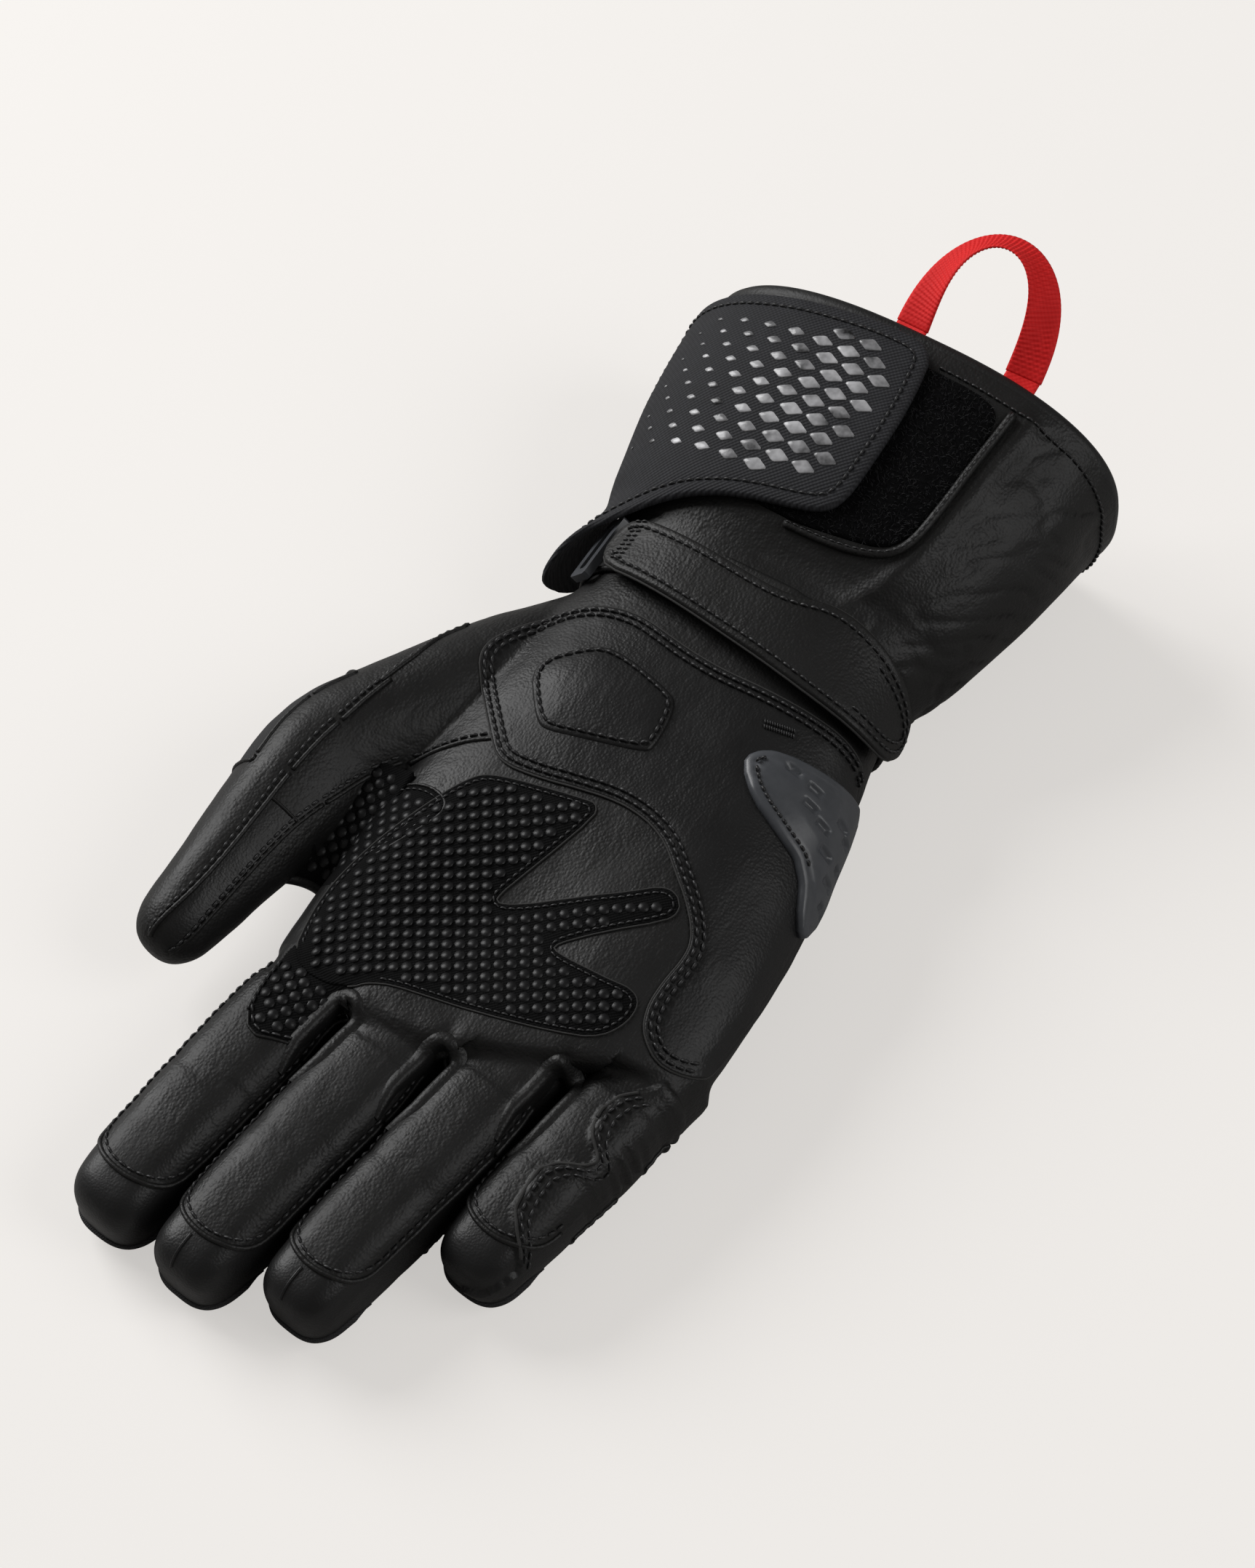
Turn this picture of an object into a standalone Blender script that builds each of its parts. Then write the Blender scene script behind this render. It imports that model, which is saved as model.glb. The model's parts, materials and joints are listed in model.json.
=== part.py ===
"""Long-cuff leather glove for the right hand, lying on its back with the palm up.

The frame has +Y towards the cuff mouth, the fingers towards -Y, the thumb on -X and the palm up.
The origin is on the flat underside of the back panel, where the glove rests.
"""

import math

import bmesh
import bpy
import numpy as np
from mathutils import Matrix

MM = 0.001

# Leather and lining
WALL = 2.2 * MM
LINING_THICKNESS = 0.8 * MM
LINING_LOFT = 2.4 * MM
OVERLAY_THICKNESS = 1.2 * MM
BINDING_RADIUS = 2.1 * MM

# Gaps kept between neighbouring pieces
CLEAR = 0.4 * MM
SEAM_GAP = 1.2 * MM
SEAM_ALLOWANCE = 3 * MM
SKIN_GAP = 0.7 * MM
TAPE_GAP = 0.7 * MM

# Hook and loop fastening
PILE_THICKNESS = 1.2 * MM
HOOK_THICKNESS = 0.9 * MM
FLAP_THICKNESS = 1.6 * MM
STRAP_THICKNESS = 2.0 * MM

# Hand and cuff tube: each section has a half width, a top and an underside
CUFF_END = 145 * MM
WRIST = 58 * MM
MOUTH_HALF_WIDTH = 66 * MM
MOUTH_HEIGHT = 74 * MM
FOREARM_HALF_WIDTH = 61.5 * MM
FOREARM_HEIGHT = 68 * MM
WRIST_HALF_WIDTH = 48 * MM
WRIST_HEIGHT = 52 * MM
HEEL_HALF_WIDTH = 53 * MM
HEEL_HEIGHT = 50 * MM
PALM_HALF_WIDTH = 60 * MM
PALM_HEIGHT = 48 * MM
KNUCKLE_HALF_WIDTH = 60 * MM
KNUCKLE_HEIGHT = 37 * MM
GUARD_THICKNESS = 3.4 * MM
GUARD_RECESS = GUARD_THICKNESS + SKIN_GAP + CLEAR
SETTLE = 2.5 * MM
SECTION_POWER = 2.5

# Fingers: base crease, lean towards the thumb, length, half width and half height at the base
FINGER_PITCH = 3.6
FINGER_POWER = 2.7
CAP_LENGTH = 17 * MM
TIP_ROUND = 12 * MM
LOWER_SHARE = 0.44
INDEX = {"x": -38.5, "y": -100, "z": 18.6, "lean": 8.4, "length": 86, "half": (15.3, 15.6)}
MIDDLE = {"x": -8.6, "y": -104, "z": 19.2, "lean": 9.0, "length": 86, "half": (14.1, 15.0)}
RING = {"x": 21.5, "y": -97, "z": 19.0, "lean": 9.4, "length": 86, "half": (13.7, 15.0)}
LITTLE = {"x": 52.4, "y": -82, "z": 17.6, "lean": 8.6, "length": 68, "half": (13.3, 14.4)}
FINGERS = {"index": INDEX, "middle": MIDDLE, "ring": RING, "little": LITTLE}
MID_TAPER = 0.97
TIP_TAPER = 0.88

# Thumb: points on its centre line and half sizes there
THUMB_ROOT = np.array((-36, 44, 23)) * MM
THUMB_HEEL = np.array((-60, -4, 25.4)) * MM
THUMB_KNUCKLE = np.array((-77.5, -42, 26.5)) * MM
THUMB_JOINT = np.array((-78.5, -68, 26.5)) * MM
THUMB_TIP = np.array((-82.5, -113, 22)) * MM
THUMB_FLEX = np.array((0.6, 0.0, 0.8))
THUMB_ROOT_HALF = 13 * MM
THUMB_HEEL_HALF = 18 * MM
THUMB_KNUCKLE_HALF = 18 * MM
THUMB_JOINT_HALF = 16.4 * MM
THUMB_TIP_HALF = 13.2 * MM
THUMB_POWER = 2.3
THUMB_CAP_LENGTH = 15 * MM

# Stretch gussets across the bending creases
CREASE_LEAN = 0.26
THUMB_LEAN = 0.18
GUSSET_RIBS = 2
GUSSET_RIB_DEPTH = 0.9 * MM
GUSSET_THICKNESS = 1.0 * MM
GUSSET_INSET = 0.9 * MM
GUSSET_GAP = 1.2 * MM

# Pull loop of flat webbing at the mouth
LOOP_WIDTH = 11 * MM
LOOP_THICKNESS = 1.1 * MM
LOOP_SPAN = 36 * MM
LOOP_HEIGHT = 33 * MM
LOOP_TILT = 42
LOOP_BASE_TWIST = 12
LOOP_TOP_TWIST = 58
LOOP_CENTRE_X = 18 * MM

# Overlays on the palm and the buckle ring beside the strap's sewn end
PAD_THICKNESS = 1.8 * MM
PAD_EDGE = 0.7 * MM
GRIP_THICKNESS = 0.9 * MM
SLIDER_THICKNESS = 3.0 * MM
MOULDED_EDGE = 1.0 * MM
BUCKLE_LENGTH = 22 * MM
BUCKLE_WIDTH = 8.4 * MM
BUCKLE_BAR = 2.6 * MM
BUCKLE_CORNER = 0.8 * MM
BUCKLE_THICKNESS = 2.4 * MM
BUCKLE_CLEAR = 1.6 * MM
BUCKLE_FROM_STRAP = 5.2 * MM

# Facets
SLEEVE_COLUMNS = 30
LOOP_STEPS = 20
STALL_SIDES = 16
PATCH_CELL = 7.5 * MM

UP = np.array((0.0, 0.0, 1.0))


def start_scene():
    for old in list(bpy.data.objects):
        bpy.data.objects.remove(old)
    parts = bpy.data.collections.new("gauntlet_glove")
    cutters = bpy.data.collections.new("cutters")
    bpy.context.scene.collection.children.link(parts)
    bpy.context.scene.collection.children.link(cutters)
    return parts, cutters


PARTS, CUTTERS = start_scene()


def finish_material(name, colour, roughness, metallic=0.0):
    made = bpy.data.materials.new(name)
    made.use_nodes = True
    shader = made.node_tree.nodes["Principled BSDF"]
    shader.inputs["Base Color"].default_value = (*colour, 1.0)
    shader.inputs["Roughness"].default_value = roughness
    shader.inputs["Metallic"].default_value = metallic
    return made


LEATHER = ((0.022, 0.022, 0.023), 0.55)
SMOOTH_LEATHER = ((0.030, 0.031, 0.033), 0.45)
STRETCH_FABRIC = ((0.018, 0.018, 0.019), 0.85)
GRIP_RUBBER = ((0.030, 0.031, 0.033), 0.5)
SLIDER_PLASTIC = ((0.105, 0.108, 0.114), 0.5)
PILE = ((0.025, 0.025, 0.026), 0.95)
LINING = ((0.02, 0.02, 0.021), 0.9)
FLAP_FILM = ((0.045, 0.046, 0.05), 0.35)
RED_WEBBING = ((0.50, 0.018, 0.022), 0.75)


# Section shape of the hand and cuff tube

def smooth_between(stations, values, at):
    """Monotone curve through the stations, so that no section overshoots."""
    step = np.diff(stations)
    slope = np.diff(values) / step
    tangent = np.zeros(len(values))
    tangent[0] = slope[0]
    tangent[-1] = slope[-1]
    for i in range(1, len(values) - 1):
        if slope[i - 1] * slope[i] > 0:
            tangent[i] = 2 * slope[i - 1] * slope[i] / (slope[i - 1] + slope[i])
    at = min(max(at, stations[0]), stations[-1])
    i = min(max(int(np.searchsorted(stations, at)) - 1, 0), len(step) - 1)
    t = (at - stations[i]) / step[i]
    rise = (2 * t ** 3 - 3 * t ** 2 + 1) * values[i] + (3 * t ** 2 - 2 * t ** 3) * values[i + 1]
    turn = (t ** 3 - 2 * t ** 2 + t) * tangent[i] + (t ** 3 - t ** 2) * tangent[i + 1]
    return rise + step[i] * turn


KNUCKLE_LINE = min(finger["y"] for finger in FINGERS.values()) * MM
GUARD_END = KNUCKLE_LINE + 54 * MM
SECTIONS = np.array([
    (KNUCKLE_LINE, 6 * MM, KNUCKLE_HALF_WIDTH, GUARD_RECESS, KNUCKLE_HEIGHT),
    (GUARD_END, 6 * MM, PALM_HALF_WIDTH + MM, GUARD_RECESS, PALM_HEIGHT - 4 * MM),
    (GUARD_END + 32 * MM, 4.5 * MM, PALM_HALF_WIDTH, 0.0, PALM_HEIGHT - MM),
    (WRIST - 28 * MM, 2 * MM, HEEL_HALF_WIDTH, 0.0, HEEL_HEIGHT),
    (WRIST, 2 * MM, WRIST_HALF_WIDTH, 0.0, WRIST_HEIGHT),
    (WRIST + 26 * MM, 3 * MM, FOREARM_HALF_WIDTH - 6 * MM, 0.0, FOREARM_HEIGHT - 8 * MM),
    (WRIST + 52 * MM, 4 * MM, FOREARM_HALF_WIDTH, 0.0, FOREARM_HEIGHT),
    (CUFF_END, 5 * MM, MOUTH_HALF_WIDTH, 0.0, MOUTH_HEIGHT),
])


def section_at(y):
    return [smooth_between(SECTIONS[:, 0], SECTIONS[:, k], y) for k in (1, 2, 3, 4)]


def signed_power(value, power):
    return math.copysign(abs(value) ** power, value)


def sleeve_point(angle, y, lift=0.0):
    """A point of the tube's skin at an angle round it, flattened where it settles on the floor."""
    centre, half_width, low, high = section_at(y)
    half_height = (high - low + SETTLE) / 2
    middle = (high + low - SETTLE) / 2
    x = centre + (half_width + lift) * signed_power(math.cos(angle), 2 / SECTION_POWER)
    z = middle + (half_height + lift) * signed_power(math.sin(angle), 2 / SECTION_POWER)
    return np.array((x, y, max(z, low - lift)))


def angle_at_height(y, above_middle):
    centre, half_width, low, high = section_at(y)
    half_height = (high - low + SETTLE) / 2
    return math.asin(signed_power(above_middle / half_height, SECTION_POWER / 2))


def angle_at_x(x, y, palm_side):
    centre, half_width, low, high = section_at(y)
    share = min(max((x - centre) / half_width, -0.995), 0.995)
    angle = math.acos(signed_power(share, SECTION_POWER / 2))
    return angle if palm_side else -angle


def wrap_point(along, y, lift, palm_side=True):
    """A point at a distance along the skin from the middle of the palm, or of the back."""
    middle = math.pi / 2 if palm_side else -math.pi / 2
    turn = -1 if palm_side else 1
    samples = 121
    angles = middle + turn * np.linspace(-2.2, 2.2, samples)
    skin = np.array([sleeve_point(angle, y) for angle in angles])
    steps = np.hypot(np.diff(skin[:, 0]), np.diff(skin[:, 2]))
    reach = np.concatenate(([0], np.cumsum(steps)))
    reach = reach - reach[samples // 2]
    x = np.interp(along, reach, skin[:, 0])
    z = np.interp(along, reach, skin[:, 2])
    spread = 1.5 * MM
    ahead = [np.interp(along + spread, reach, skin[:, k]) for k in (0, 2)]
    behind = [np.interp(along - spread, reach, skin[:, k]) for k in (0, 2)]
    tangent = np.array(ahead) - np.array(behind)
    tangent = tangent / np.linalg.norm(tangent)
    side = 1 if palm_side else -1
    return np.array((x - side * lift * tangent[1], y, z + side * lift * tangent[0]))


# Mesh helpers

def add_object(name, mesh, look, origin=None, collection=PARTS):
    made = bpy.data.objects.new(name, mesh)
    collection.objects.link(made)
    if look is None:
        made.hide_render = True
        made.display_type = "WIRE"
    else:
        mesh.materials.append(finish_material(name, *look))
        mesh.shade_smooth()
        mesh.set_sharp_from_angle(angle=math.radians(38))
    if origin is not None:
        place = [float(value) for value in origin]
        for vertex in mesh.vertices:
            vertex.co = [vertex.co[k] - place[k] for k in range(3)]
        made.location = place
    return made


def mesh_from(name, bm):
    mesh = bpy.data.meshes.new(name)
    bm.to_mesh(mesh)
    bm.free()
    return mesh


def grid_mesh(name, rows, closed=False, cap_last=False, cap_first=False):
    """A lofted skin through rows of points, facing away from its own middle."""
    bm = bmesh.new()
    lines = [[bm.verts.new(point) for point in row] for row in rows]
    count = len(rows[0])
    for one, two in zip(lines, lines[1:]):
        for k in range(count if closed else count - 1):
            n = (k + 1) % count
            bm.faces.new((one[k], one[n], two[n], two[k]))
    if cap_last:
        bm.faces.new(lines[-1])
    if cap_first:
        bm.faces.new(list(reversed(lines[0])))
    bm.normal_update()
    middle = np.mean([np.mean(row, axis=0) for row in rows], axis=0)
    if not closed:
        middle = np.array((middle[0], middle[1], SECTIONS[0, 4] / 2 + GUARD_RECESS / 2))
    facing = 0.0
    for face in bm.faces:
        outward = np.array(face.calc_center_median()) - middle
        facing += float(np.dot(outward, np.array(face.normal))) * face.calc_area()
    if facing < 0:
        bmesh.ops.reverse_faces(bm, faces=bm.faces)
    return mesh_from(name, bm)


def thicken(made, thickness, outward=False):
    shell = made.modifiers.new("wall", "SOLIDIFY")
    shell.thickness = thickness
    shell.offset = 1.0 if outward else -1.0
    return made


def cut(made, cutter):
    hole = made.modifiers.new("cut", "BOOLEAN")
    hole.operation = "DIFFERENCE"
    hole.solver = "EXACT"
    hole.object = cutter
    return made


def round_edges(made, width, angle=40):
    edge = made.modifiers.new("edge", "BEVEL")
    edge.width = width
    edge.segments = 1
    edge.limit_method = "ANGLE"
    edge.angle_limit = math.radians(angle)
    return made


def patch(name, outline, lift, thickness, look, palm_side=True, origin=None):
    """A sheet cut to an outline of (distance along the skin, y) and wrapped on the tube."""
    bm = bmesh.new()
    edge = [bm.verts.new((s * MM, y * MM, 0)) for s, y in outline]
    bm.faces.new(edge)
    for axis in (0, 1):
        values = [vertex.co[axis] for vertex in edge]
        first = math.floor(min(values) / PATCH_CELL) + 1
        last = math.ceil(max(values) / PATCH_CELL)
        for k in range(first, last):
            place = [0.0, 0.0, 0.0]
            normal = [0.0, 0.0, 0.0]
            place[axis] = (k + 0.37) * PATCH_CELL
            normal[axis] = 1.0
            everything = bm.verts[:] + bm.edges[:] + bm.faces[:]
            bmesh.ops.bisect_plane(bm, geom=everything, plane_co=place, plane_no=normal, dist=0.6 * MM)
    bmesh.ops.triangulate(bm, faces=bm.faces[:])
    for vertex in bm.verts:
        vertex.co = wrap_point(vertex.co[0], vertex.co[1], lift, palm_side)
    bm.normal_update()
    sky = sum(face.normal[2] * face.calc_area() for face in bm.faces)
    if (sky < 0) == palm_side:
        bmesh.ops.reverse_faces(bm, faces=bm.faces)
    made = add_object(name, mesh_from(name, bm), look, origin)
    return thicken(made, thickness, outward=True)


# Limb frames: origin on the crease, t along the limb, f towards the palm, l the hinge axis

class Crease:
    def __init__(self, origin, along, flex, half_width, half_height):
        self.origin = np.array(origin, dtype=float)
        self.t = np.array(along, dtype=float) / np.linalg.norm(along)
        flex = np.array(flex, dtype=float) - np.dot(flex, self.t) * self.t
        self.f = flex / np.linalg.norm(flex)
        self.l = np.cross(self.t, self.f)
        self.half_width = half_width
        self.half_height = half_height

    def hinge(self):
        return self.origin + self.half_height * self.f

    def at(self, distance, taper):
        moved = Crease(self.origin + distance * self.t, self.t, self.f,
                       self.half_width * taper, self.half_height * taper)
        return moved

    def point(self, angle, power, along=0.0, lean=0.0, lift=0.0, shrink=1.0):
        u = (self.half_width * shrink + lift) * signed_power(math.cos(angle), 2 / power)
        v = (self.half_height * shrink + lift) * signed_power(math.sin(angle), 2 / power)
        depth = self.half_height * shrink + lift - v
        return self.origin + (along + lean * depth) * self.t + u * self.l + v * self.f

    def ring(self, power, along=0.0, lean=0.0, lift=0.0, shrink=1.0):
        angles = [2 * math.pi * k / STALL_SIDES for k in range(STALL_SIDES)]
        return [self.point(angle, power, along, lean, lift, shrink) for angle in angles]


def stall(name, rings, origin, look=LEATHER, cap_last=False):
    made = add_object(name, grid_mesh(name, rings, closed=True, cap_last=cap_last), look, origin)
    return thicken(made, WALL)


def tip_rings(base, power, length, clear):
    """Rings of a finger cap, closing in a round end."""
    rings = [base.ring(power, along=clear), base.ring(power, along=length - TIP_ROUND, shrink=0.97)]
    for turn in (28, 52, 72):
        turn = math.radians(turn)
        along = length - TIP_ROUND + TIP_ROUND * math.sin(turn)
        rings.append(base.ring(power, along=along, shrink=0.97 * math.cos(turn) ** 0.8))
    return rings


def gusset(name, crease, power, origin, lean=CREASE_LEAN):
    """A ribbed stretch panel round the outer side of a crease, which opens as the joint bends."""
    across = 11
    steps = 2 * GUSSET_RIBS
    above = math.radians(8)
    rows = []
    for i in range(across):
        angle = math.pi - above + (math.pi + 2 * above) * i / (across - 1)
        rim = crease.point(angle, power)
        depth = crease.half_height - float(np.dot(rim - crease.origin, crease.f))
        half_span = CLEAR + lean * depth - GUSSET_GAP
        row = []
        for k in range(steps + 1):
            along = half_span * (2 * k / steps - 1)
            fold = GUSSET_RIB_DEPTH * (k % 2)
            row.append(crease.point(angle, power, lift=-GUSSET_INSET - fold) + along * crease.t)
        rows.append(row)
    bm = bmesh.new()
    lines = [[bm.verts.new(point) for point in row] for row in rows]
    for one, two in zip(lines, lines[1:]):
        for k in range(steps):
            bm.faces.new((one[k], one[k + 1], two[k + 1], two[k]))
    bm.normal_update()
    facing = sum(float(np.dot(np.array(face.calc_center_median()) - crease.origin, np.array(face.normal)))
                 for face in bm.faces)
    if facing < 0:
        bmesh.ops.reverse_faces(bm, faces=bm.faces)
    made = add_object(name, mesh_from(name, bm), STRETCH_FABRIC, origin)
    return thicken(made, GUSSET_THICKNESS)


# Fingers

def finger_creases(size):
    lean = math.radians(size["lean"])
    pitch = math.radians(FINGER_PITCH)
    along = (-math.sin(lean) * math.cos(pitch), -math.cos(lean) * math.cos(pitch), -math.sin(pitch))
    half_width, half_height = (value * MM for value in size["half"])
    origin = (size["x"] * MM, size["y"] * MM, size["z"] * MM)
    base = Crease(origin, along, UP, half_width, half_height)
    length = size["length"] * MM
    middle = base.at(length * LOWER_SHARE, MID_TAPER)
    seam = base.at(length - CAP_LENGTH, TIP_TAPER)
    return base, middle, seam


CREASES = {name: finger_creases(size) for name, size in FINGERS.items()}


def build_fingers():
    for name, (base, middle, seam) in CREASES.items():
        power = FINGER_POWER
        half_way = base.at(float(np.dot(middle.origin - base.origin, base.t)) / 2, (1 + MID_TAPER) / 2)
        lower = [base.ring(power, along=CLEAR, lean=CREASE_LEAN),
                 half_way.ring(power),
                 middle.ring(power, along=-CLEAR, lean=-CREASE_LEAN)]
        upper = [middle.ring(power, along=CLEAR, lean=CREASE_LEAN),
                 seam.ring(power, along=-CLEAR / 2)]
        stall(name + "_lower_stall", lower, base.hinge())
        stall(name + "_upper_stall", upper, middle.hinge())
        rings = tip_rings(seam, power, CAP_LENGTH, CLEAR / 2)
        stall(name + "_tip_cap", rings, middle.hinge(), SMOOTH_LEATHER, cap_last=True)
        gusset(name + "_knuckle_gusset", base, power, base.hinge())
        gusset(name + "_middle_gusset", middle, power, middle.hinge())


# Thumb

def thumb_creases():
    start = THUMB_HEEL - THUMB_ROOT
    first = THUMB_KNUCKLE - THUMB_HEEL
    second = THUMB_JOINT - THUMB_KNUCKLE
    third = THUMB_TIP - THUMB_JOINT
    start = start / np.linalg.norm(start)
    first = first / np.linalg.norm(first)
    second = second / np.linalg.norm(second)
    length = float(np.linalg.norm(third))
    third = third / length
    root = Crease(THUMB_ROOT, start, THUMB_FLEX, THUMB_ROOT_HALF, THUMB_ROOT_HALF)
    heel = Crease(THUMB_HEEL, start + first, THUMB_FLEX, THUMB_HEEL_HALF, THUMB_HEEL_HALF)
    knuckle = Crease(THUMB_KNUCKLE, first + second, THUMB_FLEX, THUMB_KNUCKLE_HALF, THUMB_KNUCKLE_HALF)
    joint = Crease(THUMB_JOINT, second + third, THUMB_FLEX, THUMB_JOINT_HALF, THUMB_JOINT_HALF)
    seam_place = THUMB_JOINT + (length - THUMB_CAP_LENGTH) * third
    seam = Crease(seam_place, third, THUMB_FLEX, THUMB_TIP_HALF, THUMB_TIP_HALF)
    return root, heel, knuckle, joint, seam


THUMB = thumb_creases()


def build_thumb(palm_envelope):
    root, heel, knuckle, joint, seam = THUMB
    power = THUMB_POWER
    base = [root.ring(power), heel.ring(power), knuckle.ring(power, along=-CLEAR, lean=-THUMB_LEAN)]
    lower = [knuckle.ring(power, along=CLEAR, lean=THUMB_LEAN),
             joint.ring(power, along=-CLEAR, lean=-THUMB_LEAN)]
    upper = [joint.ring(power, along=CLEAR, lean=THUMB_LEAN), seam.ring(power, along=-CLEAR / 2)]
    cut(stall("thumb_base", base, None), palm_envelope)
    stall("thumb_lower_stall", lower, knuckle.hinge())
    stall("thumb_upper_stall", upper, joint.hinge())
    rings = tip_rings(seam, power, THUMB_CAP_LENGTH, CLEAR / 2)
    stall("thumb_tip_cap", rings, joint.hinge(), SMOOTH_LEATHER, cap_last=True)
    gusset("thumb_knuckle_gusset", knuckle, power, knuckle.hinge(), THUMB_LEAN)
    gusset("thumb_joint_gusset", joint, power, joint.hinge(), THUMB_LEAN)


def thumb_cavity():
    root, heel, knuckle = THUMB[:3]
    rings = [crease.ring(THUMB_POWER, lift=-WALL) for crease in (root, heel, knuckle)]
    mesh = grid_mesh("thumb_cavity", rings, closed=True, cap_last=True, cap_first=True)
    return add_object("thumb_cavity", mesh, None, collection=CUTTERS)


# Hand and cuff panels

def envelope():
    rows = []
    for y in np.linspace(WRIST, KNUCKLE_LINE + 25 * MM, 16):
        rows.append([sleeve_point(2 * math.pi * k / 72, y, CLEAR) for k in range(72)])
    mesh = grid_mesh("palm_envelope", rows, closed=True, cap_last=True, cap_first=True)
    return add_object("palm_envelope", mesh, None, collection=CUTTERS)


def crease_y(crease, x, z):
    """Where a panel ends in front of a finger: on the finger's own crease plane, leaning back with depth."""
    t = crease.t - CREASE_LEAN * crease.f
    o = crease.origin
    rest = t[0] * (x - o[0]) + t[2] * (z - o[2]) + CLEAR + CREASE_LEAN * crease.half_height
    return o[1] - rest / t[1]


def end_of_column(crease, x, palm_side):
    y = crease.origin[1]
    for _ in range(8):
        angle = angle_at_x(x, y, palm_side)
        point = sleeve_point(angle, y)
        y = crease_y(crease, point[0], point[2])
    return angle, y


def seam_angle(y, right, palm_side, above=0.0):
    side = 1 if palm_side else -1
    angle = angle_at_height(y, side * (SEAM_GAP / 2 + above))
    if right:
        return angle
    return math.pi - angle if palm_side else -math.pi - angle


def seam_column(crease, right, palm_side, above):
    y = crease.origin[1]
    for _ in range(8):
        angle = seam_angle(y, right, palm_side, above)
        point = sleeve_point(angle, y)
        y = crease_y(crease, point[0], point[2])
    return angle, y


def hand_panel(name, palm_side, rows=14):
    """Half of the hand's tube, from the wrist to the finger creases, with a step at each crotch."""
    little, index = CREASES["little"][0], CREASES["index"][0]
    hem = (0.0, SEAM_ALLOWANCE)
    columns = [seam_column(little, True, palm_side, above) for above in hem]
    for finger, shares in (("little", (0.7, 0.2, -0.4, -0.96)), ("ring", (0.96, 0.3, -0.3, -0.96)),
                           ("middle", (0.96, 0.3, -0.3, -0.96)), ("index", (0.96, 0.4, -0.2, -0.7))):
        base = CREASES[finger][0]
        for share in shares:
            x = base.origin[0] - share * base.half_width * base.l[0]
            columns.append(end_of_column(base, x, palm_side))
    columns += [seam_column(index, False, palm_side, above) for above in reversed(hem)]
    start = WRIST - CLEAR / 2
    right = [seam_angle(start, True, palm_side, above) for above in hem]
    left = [seam_angle(start, False, palm_side, above) for above in reversed(hem)]
    around_wrist = right + list(np.linspace(right[1], left[0], len(columns) - 2)[1:-1]) + left
    lines = []
    for v in np.linspace(0, 1, rows):
        line = []
        for k, (angle, y) in enumerate(columns):
            row_y = start + v * (y - start)
            around = around_wrist[k] + v * (angle - around_wrist[k])
            from_left = len(columns) - 1 - k
            if min(k, from_left) < len(hem):
                around = seam_angle(row_y, k < from_left, palm_side, hem[min(k, from_left)])
            line.append(sleeve_point(around, row_y))
        lines.append(line)
    made = add_object(name, grid_mesh(name, lines), LEATHER)
    return thicken(made, WALL)


def cuff_panel(name, palm_side, rows=8, columns=17):
    lines = []
    for y in np.linspace(WRIST + CLEAR / 2, CUFF_END, rows):
        right = [seam_angle(y, True, palm_side, above) for above in (0.0, SEAM_ALLOWANCE)]
        left = [seam_angle(y, False, palm_side, above) for above in (SEAM_ALLOWANCE, 0.0)]
        angles = right[:1] + list(np.linspace(right[1], left[0], columns)) + left[1:]
        lines.append([sleeve_point(angle, y) for angle in angles])
    made = add_object(name, grid_mesh(name, lines), LEATHER)
    return thicken(made, WALL)


def lining(name, start, end, rows):
    lift = -(WALL + LINING_LOFT)
    lines = []
    for y in np.linspace(start, end, rows):
        lines.append([sleeve_point(2 * math.pi * k / SLEEVE_COLUMNS, y, lift) for k in range(SLEEVE_COLUMNS)])
    made = add_object(name, grid_mesh(name, lines, closed=True), LINING)
    return thicken(made, LINING_THICKNESS)


def curve_piece(name, points, radius, look, closed=False):
    """A round cord along points, welded into one body."""
    data = bpy.data.curves.new(name, "CURVE")
    data.dimensions = "3D"
    data.bevel_depth = radius
    data.bevel_resolution = 1
    data.use_fill_caps = True
    line = data.splines.new("POLY")
    line.points.add(len(points) - 1)
    for knot, point in zip(line.points, points):
        knot.co = (*point, 1.0)
    line.use_cyclic_u = closed
    data.materials.append(finish_material(name, *look))
    made = bpy.data.objects.new(name, data)
    PARTS.objects.link(made)
    return made


def build_cuff():
    cuff_panel("cuff_palm_panel", True)
    cuff_panel("cuff_back_panel", False)
    lining("cuff_lining", WRIST + CLEAR / 2, CUFF_END, 7)
    count = 36
    inset = -(WALL + LINING_LOFT + LINING_THICKNESS) / 2
    place = CUFF_END + BINDING_RADIUS + CLEAR
    ring = []
    for k in range(count):
        point = sleeve_point(2 * math.pi * k / count, CUFF_END, inset)
        ring.append((point[0], place, max(point[2], BINDING_RADIUS + CLEAR)))
    curve_piece("cuff_binding", ring, BINDING_RADIUS, LEATHER, closed=True)


# Overlays and fastenings: outlines of (distance along the skin from the palm's middle, y) in millimetres

HEEL_OUTLINE = [(57, 31), (35, 32), (17, 33), (-2, 34.5), (-21, 38), (-30, 37), (-42, 31), (-44, 18),
                (-41, 2), (-37, -14), (-31, -24), (-14, -22), (10, -19), (23, -26), (34, -35), (40, -43),
                (42, -52), (41, -66), (47, -74), (58, -74), (68, -62), (71, -40), (72, -10), (68, 26)]
PAD_OUTLINE = [(-40, 8), (-26, 21), (0, 17), (3, 14), (4, -1), (-26, -11)]
GRIP_OUTLINE = [(-50, -62), (-42, -36), (-33, -28), (-15, -25), (-5, -46), (9, -23), (20, -29), (12, -55),
                (36, -47), (37, -62), (38, -72), (30, -84), (6, -92), (-22, -97), (-34, -90), (-40, -78),
                (-48, -74)]
SLIDER_OUTLINE = [(28, 12), (33, 17), (64, 25), (68, 12), (70, -10), (66, -20), (60, -21), (53, -11),
                  (44, -6), (31, 2)]
CUFF_PILE_OUTLINE = [(34, 138), (34, 108), (31, 91), (25, 84), (0, 80), (-30, 82), (-34, 100), (-34, 138)]
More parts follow.
